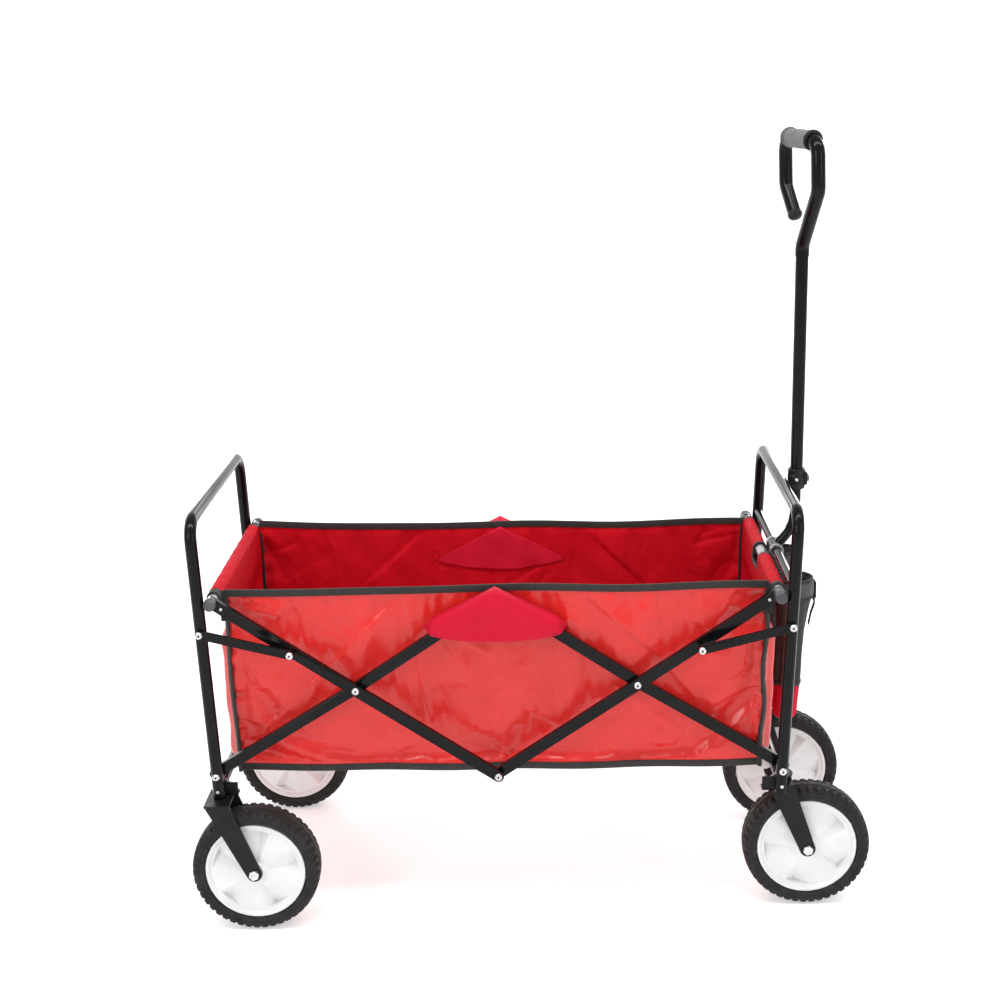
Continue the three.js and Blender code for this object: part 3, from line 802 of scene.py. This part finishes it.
def side_wall(side):
    """Outside surface of a side wall, as rows from the base up."""
    columns, rows = 91, 34
    s = np.linspace(-1, 1, columns)[None, :]
    t = np.linspace(0, 1, rows)[:, None]
    z = base_line(s * TUB_X) * (1 - t) + rim_line(s * TUB_X, side) * t
    x = s * (wall_half_length(z) - 0.6)
    inner = edge_fade(t, 0.10) * edge_fade(1 - t, 0.10) * edge_fade(1 - np.abs(s), 0.05)
    bulge = (1.4 * ripple(x, z, 5, 150, 330)
             + 0.9 * ripple(x, z, 6, 70, 150, math.radians(-55 * side), 0.7))
    y = wall_half_width(z) + inner * (bulge - 2.0)
    points = np.stack([x, side * y, z], -1)
    held = np.zeros((rows, columns), bool)
    held[0], held[-1], held[:, 0], held[:, -1] = True, True, True, True
    points = settle(points, held)
    points = refine(refine(points))
    rows, columns = points.shape[:2]
    s = np.linspace(-1, 1, columns)[None, :]
    t = np.linspace(0, 1, rows)[:, None]
    x, z = points[..., 0], points[..., 2]
    mirror = 1.0 if side < 0 else -1.0
    detail = np.zeros((rows, columns))
    for start, end, height, width, step in SIDE_CREASES:
        detail += crease(x * mirror, z, start, end, height, width, step)
    detail += pucker(x * mirror, z, BASE_Z + 5, 42, 43, 1.9)
    detail += pucker(z, np.abs(x) * -1, -TUB_X + 4, 34, 36, 1.5, 0.7)
    detail += 0.8 * ripple(x * mirror, z, 6, 42, 96, math.radians(-40), 0.8) * edge_fade(1 - t, 0.25)
    detail *= edge_fade(t - 0.02, 0.06) * edge_fade(1 - t, 0.045) * edge_fade(1 - np.abs(s), 0.008)
    y = side * points[..., 1]
    nominal = wall_half_width(z)
    hold = edge_fade(t - 0.015, 0.07) * edge_fade(0.985 - t, 0.06)
    y = nominal + hold * np.clip(y + detail - nominal - 1.0, -9.0, 3.6)
    return np.stack([x, side * y, z], -1)


def finish_wall(obj):
    thicken(obj, 1.0, -1, 1)
    return obj


def tape_along(name, path, ups, width=9.0, thick=2.6, closed=False):
    """Binding sewn over an edge: a flat strip with rounded shoulders."""
    w, h = thick / 2, width / 2
    section = [(-w, -h), (-w - 0.15, -h * 0.4), (-w, h * 0.75), (-w * 0.6, h), (w * 0.6, h),
               (w, h * 0.75), (w + 0.15, -h * 0.4), (w, -h), (w * 0.5, -h - 0.2),
               (-w * 0.5, -h - 0.2)]
    obj = swept(name, path, section, ups, tape.material, closed)
    sharpen(obj, 60)
    return obj


def strap_section(half_width, half_thick, wide_first=False):
    """Rectangle for a flat strap, as (first, second) axis of the section."""
    w, t = half_width, half_thick
    if wide_first:
        return [(-w, -t), (w, -t), (w, t), (-w, t)]
    return [(-t, -w), (t, -w), (t, w), (-t, w)]


# Each side: its wall, thickened, with binding tape along its rim and its base, all carried by the rear
# rail.
for side_name, side in SIDES:
    grid = side_wall(side)
    wall = grid_object(f"side_wall_{side_name}", grid, coated.material, lining.material, flip=side > 0)
    finish_wall(wall)
    if side_name == "near":
        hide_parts("tub_fabric")
    top, foot = grid[-1].copy(), grid[0].copy()
    top[:, 1] -= side * 0.5
    top[:, 2] -= 3.0
    foot[:, 1] -= side * 0.5
    foot[:, 2] += 1.6
    rim_tape = tape_along(f"rim_tape_{side_name}", top[::2], (0, 0, 1), 9.5, 3.4)
    base_tape = tape_along(f"base_tape_{side_name}", foot[::2], (0, 0, -1), 9.5, 3.8)
    for piece in (wall, rim_tape, base_tape):
        folds_with_frame(piece)


def end_profile():
    """Section of an end wall in (distance from the middle, height), base first, over the rail."""
    radius = RAIL_R + 1.3
    wall = [(TUB_BASE_X, BASE_Z), (353.4, 250.0), (354.8, 310.0), (356.0, 370.0), (357.0, 415.0),
            (357.6, 440.0)]
    around = [(RAIL_X + radius * math.cos(a), RAIL_Z + radius * math.sin(a))
              for a in np.radians([176, 150, 120, 90, 60, 30, 0, -30])]
    tuck = [(370.0, 446.0), (361.5, 437.0), (359.2, 428.0)]
    return np.array(wall + around + tuck)


NOTCH = 25.0
# Fold lines of an end wall as (start, end, height), across and up.
END_CREASES = (
    ((-120, 300), (20, 372), 2.0), ((-20, 262), (110, 330), 1.8), ((60, 392), (132, 330), 1.5),
    ((-130, 410), (-96, 330), 1.4), ((100, 260), (134, 330), 1.6),
)


def end_wall(y0, y1, columns, end):
    """Part of an end wall between two distances across, with its sleeve over the rail."""
    profile = spline(end_profile(), 84)
    y = np.linspace(y0, y1, columns)[None, :]
    out, z = profile[:, :1], profile[:, 1:]
    grid_x = np.broadcast_to(out, (len(profile), columns)).copy()
    grid_z = np.broadcast_to(z, (len(profile), columns)).copy()
    top = int(profile[:, 1].argmax())
    low = edge_fade((426 - grid_z) / 44, 1) * edge_fade((grid_z - BASE_Z) / 22, 1)
    low[top:] = 0
    near_seam = edge_fade(1 - np.abs(y) / TUB_Y, 0.13)
    middle = edge_fade(1 - np.abs(y) / TUB_Y, 0.5)
    belly = (12.5 if end < 0 else 14.5) - 5.0 * middle
    grid_x += low * near_seam * belly
    waves = 1.3 * ripple(y, grid_z, 5, 70, 170) + 0.8 * ripple(y, grid_z, 4, 36, 70)
    grid_x += low * near_seam * waves
    for start, end_point, height in END_CREASES:
        grid_x += low * crease(np.broadcast_to(y, grid_z.shape), grid_z, start, end_point,
                               height, 3.6, 1.0)
    grid_x = np.where(low > 0, np.minimum(grid_x, 372.0), grid_x)
    gather = 0.5 * np.sin(np.broadcast_to(y, grid_z.shape) / 4.9 + 1.3 * np.sin(y / 21.0))
    sleeve = edge_fade((grid_z - 446) / 14, 1)
    grid_x += gather * 0.4 * sleeve
    grid_z += gather * 0.4 * sleeve
    half = wall_half_width(np.clip(grid_z, BASE_Z, RIM_Z))
    grid_y = y * half / TUB_Y
    return np.stack([end * grid_x, grid_y, grid_z], -1)


for end_name, end in ENDS:
    body = f"{end_name}_rail"
    full = end_wall(-TUB_Y + 0.4, TUB_Y - 0.4, 121, end)
    if end > 0:
        # The front sleeve is cut away at its middle, where the handle's foot meets the rail.
        across = full[0, :, 1] / (TUB_BASE_Y / TUB_Y)
        height = full[:, 0, 2]
        start = int(np.argmax(height > 442))
        keep_face = np.ones((full.shape[0] - 1, full.shape[1] - 1), bool)
        inside = np.abs(across[:-1] + across[1:]) / 2 < NOTCH
        keep_face[start:, inside] = False
        faces = [f for f, k in zip(grid_faces(*full.shape[:2]), keep_face.ravel()) if k]
        wall = mesh_object("end_wall_front", full, faces, coated.material, lining.material)
    else:
        wall = grid_object("end_wall_rear", full, coated.material, lining.material, flip=True)
    finish_wall(wall)
    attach(wall, body)
    hems = []
    foot = full[0].copy()
    foot[:, 2] += 2.4
    foot[:, 0] -= end * 0.5
    hem = tape_along(f"end_base_tape_{end_name}", foot[::2], (0, 0, -1), 9.5, 3.2)
    hems.append(hem)
    wrap_rows = int(np.argmax(full[:, 0, 2] > 455))
    for side_name, side in SIDES:
        column = 0 if side < 0 else -1
        seam = full[:wrap_rows + 1, column].copy()
        above = edge_fade((seam[:, 2] - BASE_Z) / 40, 1)
        wobble = np.sin(seam[:, 2] / (17.0 if end > 0 else 31.0)) * above
        outside = seam.copy()
        outside[:, 1] += side * 0.9
        outside[:, 0] -= end * (1.6 + (2.0 if end > 0 else 1.1) * wobble)
        hems.append(tape_along(f"corner_tape_{end_name}_{side_name}", outside,
                               (end * 0.7, -side * 0.7, 0), 7.0, 3.0))
        inside_line = seam[2:].copy()
        inside_line[:, 1] -= side * 2.6
        inside_line[:, 0] -= end * 2.6
        hems.append(tape_along(f"corner_seam_{end_name}_{side_name}", inside_line,
                               (end * 0.7, side * 0.7, 0), 3.4, 2.6))
    if end > 0:
        first = int(np.argmax(across > -NOTCH))
        last = int(len(across) - 1 - np.argmax(across[::-1] < NOTCH))
        notch_edges = (("a", full[start:, first], (0, 1, 0)), ("b", full[start:, last], (0, -1, 0)),
                       ("c", full[start, first:last + 1], (0, 0, 1)))
        for label, line, ups in notch_edges:
            if len(line) > 2:
                hems.append(tape_along(f"notch_tape_{label}", line, ups, 5.5, 2.4))
    for piece in hems:
        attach(piece, body)
    # Black cloth that wraps the rail beside the arms.
    for side_name, side in SIDES:
        reach = 165.0 if end < 0 else 158.0
        wrap_y = np.linspace(147.5, reach, 6)
        a = np.linspace(0, 2 * np.pi, 24, endpoint=False)
        rings = [(RAIL_R + 1.9 + 0.35 * math.sin(k * 2.1), side * yy) for k, yy in enumerate(wrap_y)]
        wrap = turned(f"rail_wrap_{end_name}_{side_name}", rings, end * RAIL_X, RAIL_Z, 26, tape.material)
        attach(wrap, body)
        hang = ((4, 150.5, 463), (9.5, 150.8, 455), (11, 150.6, 440), (11.5, 150.2, 424))
        tab_path = spline([(end * (RAIL_X - inward), side * y, z) for inward, y, z in hang], 14)
        tab = swept(f"rail_tab_{end_name}_{side_name}", tab_path, strap_section(6, 0.9), (1, 0, 0),
                    tape.material)
        bevel(tab, 0.4, 2)
        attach(tab, body)

# --- floor --------------------------------------------------------------------------------
fx = np.linspace(-TUB_BASE_X + 1.5, TUB_BASE_X - 1.5, 121)[None, :]
fy = np.linspace(-TUB_BASE_Y + 1.5, TUB_BASE_Y - 1.5, 61)[:, None]
sag = 210.5 - 1.6 * (edge_fade(1 - np.abs(fx) / TUB_BASE_X, 0.3)
                     * edge_fade(1 - np.abs(fy) / TUB_BASE_Y, 0.4))
sag = sag + 0.35 * ripple(fx, fy, 6, 60, 160)
floor_grid = np.stack(np.broadcast_arrays(fx, fy, sag), -1)
floor_cloth = grid_object("tub_floor", floor_grid, lining.material, coated.material)
thicken(floor_cloth, 1.2, -1, 1)
MAT_Z, MAT_MARGIN, MAT_CORNER = 213.6, 9.0, 8.0
mat_half_x, mat_half_y = TUB_BASE_X - MAT_MARGIN, TUB_BASE_Y - MAT_MARGIN
mat_x = np.linspace(-mat_half_x, mat_half_x, 161)[None, :]
mat_y = np.linspace(-mat_half_y, mat_half_y, 61)[:, None]
joint = np.min(np.abs(mat_x[..., None] - np.array([-171.0, 0.0, 171.0])), -1)
mat_z = MAT_Z + 1.6 * (1 - np.exp(-(joint / 5.5) ** 2)) + 0.25 * ripple(mat_x, mat_y, 6, 60, 160)
border = np.minimum(mat_half_x - np.abs(mat_x), mat_half_y - np.abs(mat_y))
mat_z = mat_z - 1.2 * np.exp(-border / 3.0)
mat_grid = np.stack(np.broadcast_arrays(mat_x, mat_y, mat_z), -1)
floor_mat = grid_object("floor_mat", mat_grid, lining.material)
thicken(floor_mat, 2.6, -1)
straight_x, straight_y = mat_half_x - MAT_CORNER, mat_half_y - MAT_CORNER
loop = []
for sx, sy, a0 in ((1, 1, 0), (-1, 1, 90), (-1, -1, 180), (1, -1, 270)):
    for a in np.radians(np.linspace(a0, a0 + 90, 6)):
        loop.append((sx * straight_x + MAT_CORNER * math.cos(a),
                     sy * straight_y + MAT_CORNER * math.sin(a), MAT_Z))
loop = np.array(loop)
dense = []
for a, b in zip(loop, np.roll(loop, -1, 0)):
    steps = max(1, int(np.linalg.norm(b - a) / 12))
    dense += [a + (b - a) * k / steps for k in range(steps)]
mat_tape = tape_along("mat_tape", np.array(dense), (0, 0, 1), 5.0, 6.0, closed=True)
for piece in (floor_cloth, floor_mat, mat_tape):
    folds_with_frame(piece)

# --- flaps over the top pivots, and the patches behind them -------------------------------
FLAP_HALF, FLAP_APEX_Z, FLAP_TIP_Z, FLAP_LOW_Z = 93.0, 461.0, 414.0, 401.0
FLAP_OUT = MIDDLE_Y + ARM_HALF + 2.8
FLAP_TOP = CROSS_Z + CROSS_RISE + 10.2


def flap_seam_z(x):
    """Height of the seam along the wall, from the tips up to the apex."""
    return FLAP_TIP_Z + (FLAP_APEX_Z - FLAP_TIP_Z) * (1 - np.abs(x) / FLAP_HALF)


def flap_arc_z(x):
    return FLAP_LOW_Z + (FLAP_TIP_Z - 1.5 - FLAP_LOW_Z) * (np.abs(x) / FLAP_HALF) ** 2.4


for side_name, side in SIDES:
    columns, rows = 73, 44
    fx = np.linspace(-FLAP_HALF, FLAP_HALF, columns)[None, :]
    v = np.linspace(0, 1, rows)[:, None]
    roof = 0.34
    seam, arc = flap_seam_z(fx), flap_arc_z(fx)
    centred = 1 - np.abs(fx) / FLAP_HALF
    over = np.clip(v / roof, 0, 1)
    down = np.clip((v - roof) / (1 - roof), 0, 1)
    near_y = TUB_Y + 0.9
    far_y = near_y + 1.5 + (FLAP_OUT - near_y - 1.5) * edge_fade(centred, 0.11)
    far_y = far_y + 1.8 * np.sin(math.pi * down) * edge_fade(centred, 0.3)
    rise = np.sin(over * math.pi / 2) ** 0.2
    crown = seam + (FLAP_TOP - FLAP_APEX_Z) * edge_fade(centred, 0.16) * rise
    y = near_y + (far_y - near_y) * over ** 0.8
    shoulder = 2.6 * np.clip((over - 0.72) / 0.28, 0, 1) ** 2 * (1 - down)
    z = crown - shoulder - (crown - shoulder - arc) * down
    fold = 0.7 * ripple(fx, z, 5, 40, 110, math.radians(70), 0.6)
    fold = fold * np.sin(math.pi * np.clip(down, 0.0, 0.9))
    fold = fold + 0.8 * crease(np.broadcast_to(fx, z.shape), z, (-48, 436), (-52, 404), 1.4, 1.8)
    y = y + np.clip(fold, -0.3, 2.2) * (down > 0)
    flap_grid = np.stack([np.broadcast_to(fx, z.shape), side * y, z], -1)
    flap = grid_object(f"flap_{side_name}", flap_grid, crimson.material, flip=side > 0)
    thicken(flap, 1.1, -1)
    hem_line = flap_grid[-1].copy()
    hem_line[:, 2] += 1.0
    hem_line[:, 1] += side * 0.15
    hem_section = [(-1.1, -1.9), (1.1, -1.9), (1.25, 0), (1.1, 1.9), (-1.1, 1.9), (-1.25, 0)]
    flap_hem = swept(f"flap_hem_{side_name}", hem_line, hem_section, (0, 0, 1), crimson.material)
    bevel(flap_hem, 0.4, 2)
    stitch = flap_grid[-3].copy()
    stitch[:, 1] += side * 0.25
    line = swept(f"flap_stitch_{side_name}", spline(stitch[::4], 70), ring_section(0.42, 6),
                 (0, 0, 1), thread_red.material)
    patch_rows = 22
    px = np.linspace(-FLAP_HALF, FLAP_HALF, columns)[None, :]
    pv = np.linspace(0, 1, patch_rows)[:, None]
    p_edge = FLAP_TIP_Z + (RIM_Z - 6 - FLAP_TIP_Z) * (1 - np.abs(px) / FLAP_HALF)
    p_arc = FLAP_LOW_Z - 6 + (FLAP_TIP_Z + 2 - FLAP_LOW_Z) * (np.abs(px) / FLAP_HALF) ** 1.7
    pz = p_edge + (p_arc - p_edge) * pv
    wall_mesh = bpy.data.objects[f"side_wall_{side_name}"].data
    wall_grid = np.array([v.co for v in wall_mesh.vertices]) * 1000
    wall_grid[:, 0] += MIDDLE
    near_patch = wall_grid[(np.abs(wall_grid[:, 0]) < 110) & (wall_grid[:, 2] > 370)]
    py = np.zeros(pz.shape)
    for i in range(patch_rows):
        for j in range(columns):
            d = (near_patch[:, 0] - px[0, j]) ** 2 + (near_patch[:, 2] - pz[i, j]) ** 2
            w = np.exp(-d / 18.0) + 1e-12
            py[i, j] = float((w * near_patch[:, 1]).sum() / w.sum())
    patch_grid = np.stack([np.broadcast_to(px, pz.shape), py - side * 2.1, pz], -1)
    patch = grid_object(f"flap_patch_{side_name}", patch_grid, crimson.material, flip=side < 0)
    thicken(patch, 0.9, -1)
    patch_line = patch_grid[-2].copy()
    patch_line[:, 1] -= side * 0.2
    patch_stitch = swept(f"patch_stitch_{side_name}", patch_line, ring_section(0.45, 6), (0, 0, 1),
                         thread_red.material)
    for piece in (flap, flap_hem, line):
        folds_with_frame(piece)
    for piece in (patch, patch_stitch):
        folds_with_frame(piece)

# --- drink pockets ------------------------------------------------------------------------
POCKET_X, POCKET_Y = 404.0, 64.0


def pocket_point(r, a, z, y0):
    lean = 2.0 + 8.0 * min(1.0, max(0.0, (420 - z) / 160))
    return (POCKET_X - lean + r * math.cos(a), y0 + r * math.sin(a), z)


def pocket_circle(r, z, y0, count):
    angles = np.linspace(0, 2 * np.pi, count, endpoint=False)
    return np.array([pocket_point(r, a, z, y0) for a in angles])


def pocket_shell(name, rings, y0, material, segments=48, pleats=0.0):
    grid = []
    for r, z in rings:
        low = max(0.0, min(1.0, (400 - z) / 90)) * max(0.25, min(1.0, (z - 240) / 60))
        row = []
        for k in range(segments):
            a = 2 * math.pi * k / segments
            wave = pleats * low * (math.sin(5 * a + 0.8 + z / 90) + 0.5 * math.sin(9 * a + z / 41))
            row.append(pocket_point(max(0.3, r + wave), a, z, y0))
        grid.append(row)
    return grid_object(name, np.array(grid), material, close_columns=True)


for side_name, side in SIDES:
    y0 = side * POCKET_Y
    node = f"cup_pocket_{side_name}"
    net_rings = [(25.4 - 0.4 * k, 424 - 3 * k) for k in range(4)]
    net_rings += [(23.6 - 4.9 * ((412 - z) / 40) ** 0.8, z) for z in np.linspace(411, 372, 12)]
    net_rings += [(18.7 - 0.9 * ((372 - z) / 80), z) for z in np.linspace(368, 292, 18)]
    bag = pocket_shell(f"pocket_net_{side_name}", net_rings, y0, net.material, pleats=1.5)
    thicken(outward(bag), 0.8, -1)
    base_rings = [(18.2 - 0.02 * k, 299 - 3 * k) for k in range(3)]
    base_rings += [(18.0 - 0.9 * ((290 - z) / 36), z) for z in np.linspace(288, 257, 8)]
    base_rings += [(16.9 * math.cos(a) ** 0.6, 255 - 13 * math.sin(a))
                   for a in np.radians(np.linspace(6, 86, 14))]
    base = pocket_shell(f"pocket_base_{side_name}", base_rings, y0, crimson.material)
    thicken(outward(base), 1.0, -1)
    band_profile = []
    for k in range(22):
        a = 2 * math.pi * k / 22
        bulge = 1.0 + 0.10 * math.cos(2 * a)
        high = 12.0 * np.sign(math.sin(a)) * abs(math.sin(a)) ** 0.6
        band_profile.append((24.9 + 2.2 * math.cos(a) * bulge, 433.5 + high))
    grid = []
    for r, z in band_profile:
        row = []
        for k in range(56):
            a = 2 * math.pi * k / 56
            dent = 0.35 * math.sin(7 * a + z / 9) + 0.25 * math.sin(13 * a)
            row.append(pocket_point(r + dent, a, z + 0.4 * math.sin(3 * a), y0))
        grid.append(row)
    band = outward(grid_object(f"pocket_band_{side_name}", np.array(grid), padding.material,
                               close_rows=True, close_columns=True))
    tapes = []
    for label, r, z, high in (("top", 24.9, 445.2, 4.2), ("low", 25.2, 421.6, 4.2)):
        tapes.append(tape_along(f"pocket_tape_{label}_{side_name}", pocket_circle(r, z, y0, 56),
                                (0, 0, 1), high, 3.4, closed=True))
    tapes.append(tape_along(f"pocket_tape_base_{side_name}", pocket_circle(18.6, 297.5, y0, 48),
                            (0, 0, 1), 5.0, 1.8, closed=True))
    front_x = POCKET_X + 24.4
    bar_low, bar_high = front_x + 1.0, front_x + 3.6
    buckle = boxes(f"pocket_buckle_{side_name}", [
        (front_x - 0.6, front_x + 1.2, y0 - 5, y0 + 5, 414, 443),
        (bar_low, bar_high, y0 - 7.2, y0 - 4.8, 418, 440),
        (bar_low, bar_high, y0 + 4.8, y0 + 7.2, 418, 440),
        (bar_low, bar_high, y0 - 7.2, y0 + 7.2, 437.4, 440.4),
        (bar_low, bar_high, y0 - 7.2, y0 + 7.2, 417.6, 420.6),
        (front_x + 0.6, front_x + 2.6, y0 - 7, y0 + 7, 427.5, 430.5)], plastic.material, 0.6)
    strap_path = spline([(front_x + 1.6, y0, 419), (front_x + 2.2, y0 + 0.6, 409),
                         (front_x - 1.6, y0 + 1.4, 395), (front_x - 4.6, y0 + 2.0, 378)], 20)
    strap = swept(f"pocket_strap_{side_name}", strap_path, strap_section(4.2, 0.6, wide_first=True),
                  (1, 0, 0.1), tape.material)
    bevel(strap, 0.3, 2)
    for piece in [bag, base, band, buckle, strap] + tapes:
        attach(piece, "front_frame")
    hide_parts(node)

# --- pull handle --------------------------------------------------------------------------
SHAFT_X, GRIP_Z, LOOP_YAW, LOOP_HALF, LOOP_FOOT = 412.0, 1023.0, 0.225, 57.0, 885.0
COLLAR_Z = 554.0


def loop_point(u, z, out=0.0):
    back = 5 * max(z - LOOP_FOOT, 0) / (GRIP_Z - LOOP_FOOT)
    return (SHAFT_X - back - u * math.sin(LOOP_YAW) + out * math.cos(LOOP_YAW),
            u * math.cos(LOOP_YAW) + out * math.sin(LOOP_YAW), z)


def rings_along(centre, axis, across, up, profile, count, squeeze=1.0):
    """Rings of (radius, place along the axis); "squeeze" flattens the half that faces up."""
    a = np.linspace(0, 2 * np.pi, count, endpoint=False)
    tall = np.where(np.sin(a) < 0, 1.0, squeeze)
    return np.array([centre + axis * u + np.outer(np.cos(a) * r, across)
                     + np.outer(np.sin(a) * r * tall, up) for r, u in profile])


ALONG_X, ALONG_Y, ALONG_Z = np.eye(3)
centre = np.array(loop_point(0, GRIP_Z))
axis = np.array([-math.sin(LOOP_YAW), math.cos(LOOP_YAW), 0])
side_way = np.array([math.cos(LOOP_YAW), math.sin(LOOP_YAW), 0])
grip_end = [(12.2, 32.4), (12.9, 32.6), (13.3, 33.4), (13.3, 36), (13.1, 37.2), (12.2, 38), (9.4, 38)]
grip_profile = [(r, -u) for r, u in grip_end[::-1]]
for k in range(33):
    u = -31.6 + 63.2 * k / 32
    grip_profile.append((12.35 + 0.25 * math.cos(u / 14) + 0.12 * math.cos(u * math.pi / 2.2), u))
grip_profile += grip_end
grid = rings_along(centre, axis, side_way, ALONG_Z, grip_profile, 40, 0.97)
grip = outward(grid_object("hand_grip", grid, foam.material, close_rows=True, close_columns=True))
sharpen(grip, 50)
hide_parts("grip")
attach(grip, "handle_upper")
for label, sign in (("a", -1), ("b", 1)):
    rings = [(9.3, 37.8), (12.6, 37.8), (13.5, 38.6), (13.6, 40.6), (12.9, 42.0), (9.3, 42.2)]
    ring_grid = rings_along(centre, axis * sign, side_way, ALONG_Z, rings, 36)
    ring = outward(grid_object(f"grip_ring_{label}", ring_grid, plastic.material,
                               close_rows=True, close_columns=True))
    sharpen(ring, 50)
    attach(ring, "handle_upper")

# Rounded plug in the free end of the loop.
free_end = np.array(loop_point(26, 924))
before_end = np.array(loop_point(LOOP_HALF, 960))
aim = free_end - before_end
aim /= np.linalg.norm(aim)
cross_way = np.cross(aim, (0.2, 1, 0))
cross_way /= np.linalg.norm(cross_way)
plug_profile = [(9.4, -1.5), (9.9, -0.9), (9.9, 1.2), (9.4, 3.2), (8.0, 5.4), (5.6, 7.0), (2.8, 7.8),
                (0.2, 8.0)]
plug_grid = rings_along(free_end, aim, cross_way, np.cross(aim, cross_way), plug_profile, 24)
plug_faces = grid_faces(len(plug_grid), 24, close_columns=True) + [tuple(range(24))]
plug = mesh_object("loop_plug", plug_grid, plug_faces, plastic.material)
sharpen(outward(plug), 50)
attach(plug, "handle_upper")

shaft_foot = np.array([SHAFT_X, 0.0, COLLAR_Z])
collar_profile = [
    (8.9, 0.0), (11.0, 0.0), (11.6, 0.8), (11.9, 2.4), (11.9, 5.0), (11.3, 5.6), (11.3, 8.0),
    (11.9, 8.6), (11.9, 20.0), (11.4, 20.6), (11.4, 23.2), (11.8, 23.8), (11.6, 26.2), (10.8, 28.0),
    (8.9, 28.0)]
collar_grid = rings_along(shaft_foot, ALONG_Z, ALONG_X, ALONG_Y, collar_profile, 40)
collar = outward(grid_object("handle_collar_shell", collar_grid, plastic.material,
                             close_rows=True, close_columns=True))
sharpen(collar, 40)
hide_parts("handle_collar")
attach(collar, "handle_upper")
boss_box = (SHAFT_X + 9.5, SHAFT_X + 14.4, -6.8, 6.8, COLLAR_Z + 5.0, COLLAR_Z + 23.0)
boss = boxes("collar_boss", [boss_box], plastic.material, 1.6)
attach(boss, "handle_upper")
button_profile = [(5.2, 13), (5.1, 16.0), (4.7, 16.8), (3.4, 17.2), (1.8, 16.9), (0.2, 16.7)]
button_grid = rings_along(shaft_foot + 14 * ALONG_Z, ALONG_X, ALONG_Y, ALONG_Z, button_profile, 28)
button = grid_object("collar_button", button_grid, cap_grey.material, close_columns=True)
sharpen(outward(button), 45)
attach(button, "handle_upper")
for label, sign in (("a", -1), ("b", 1)):
    screw = [(r, sign * y) for r, y in ((2.4, 11.2), (2.4, 12.4), (1.8, 13.1), (0.1, 13.4))]
    dome = turned(f"collar_screw_{label}", screw, SHAFT_X - 1.5, COLLAR_Z + 14, 16, zinc.material)
    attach(dome, "handle_upper")

# Clamp round the handle's foot, on the handle crossbar.
bar_x = post_x(470)
for label, y_low, y_high in (("near", -22.5, -13.8), ("far", 13.8, 22.5)):
    rings = [(6.5, y_low), (8.8, y_low), (9.3, y_low + 0.7), (9.3, y_high - 0.7), (8.8, y_high),
             (6.5, y_high)]
    clamp = turned(f"foot_clamp_{label}", rings, bar_x, 470, 30, dull_zinc.material, closed=True)
    sharpen(clamp, 40)
    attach(clamp, "front_frame")

# --- brackets and braces at the post feet -------------------------------------------------
for end_name, end in ENDS:
    for side_name, side in SIDES:
        foot_x = end * post_x(196)
        inner = side * (POST_Y - TUBE_R - 1)
        y0, y1 = sorted((inner, side * (POST_Y - TUBE_R - 16)))
        x0, x1 = sorted((foot_x + end * 4, foot_x - end * 24))
        plate = boxes(f"foot_bracket_{end_name}_{side_name}", [
            (x0, x1, y0, y1, 184.5, 187.3),
            (x0, x1, *sorted((inner, inner - side * 2.4)), 184.5, 204.0),
        ], matte_steel.material, 0.8)
        strut_path = np.array([(foot_x - end * 22.0, inner - side * 8, 189.5),
                               (foot_x + end * 1.0, inner - side * 5, 213.0)])
        strut = swept(f"foot_strut_{end_name}_{side_name}", strut_path, ring_section(2.3, 12),
                      (0, 1, 0), dull_zinc.material)
        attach(strut, f"{end_name}_frame")
        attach(plate, f"{end_name}_frame")

# --- closing strap on the rear wall -------------------------------------------------------
strap_line = spline([(-371.5, 0, 437), (-373.0, 0.6, 424), (-374.0, -0.6, 396), (-372.0, 0.8, 366),
                     (-370.2, 1.4, 352)], 30)
rear_strap = swept("rear_strap", strap_line, strap_section(9.5, 0.8, wide_first=True), (1, 0, 0),
                   tape.material)
bevel(rear_strap, 0.4, 2)
strap_pad = boxes("rear_strap_end", [(-374.5, -369.5, -11, 12.5, 340, 360)], tape.material, 1.6)
for piece in (rear_strap, strap_pad):
    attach(piece, "rear_rail")
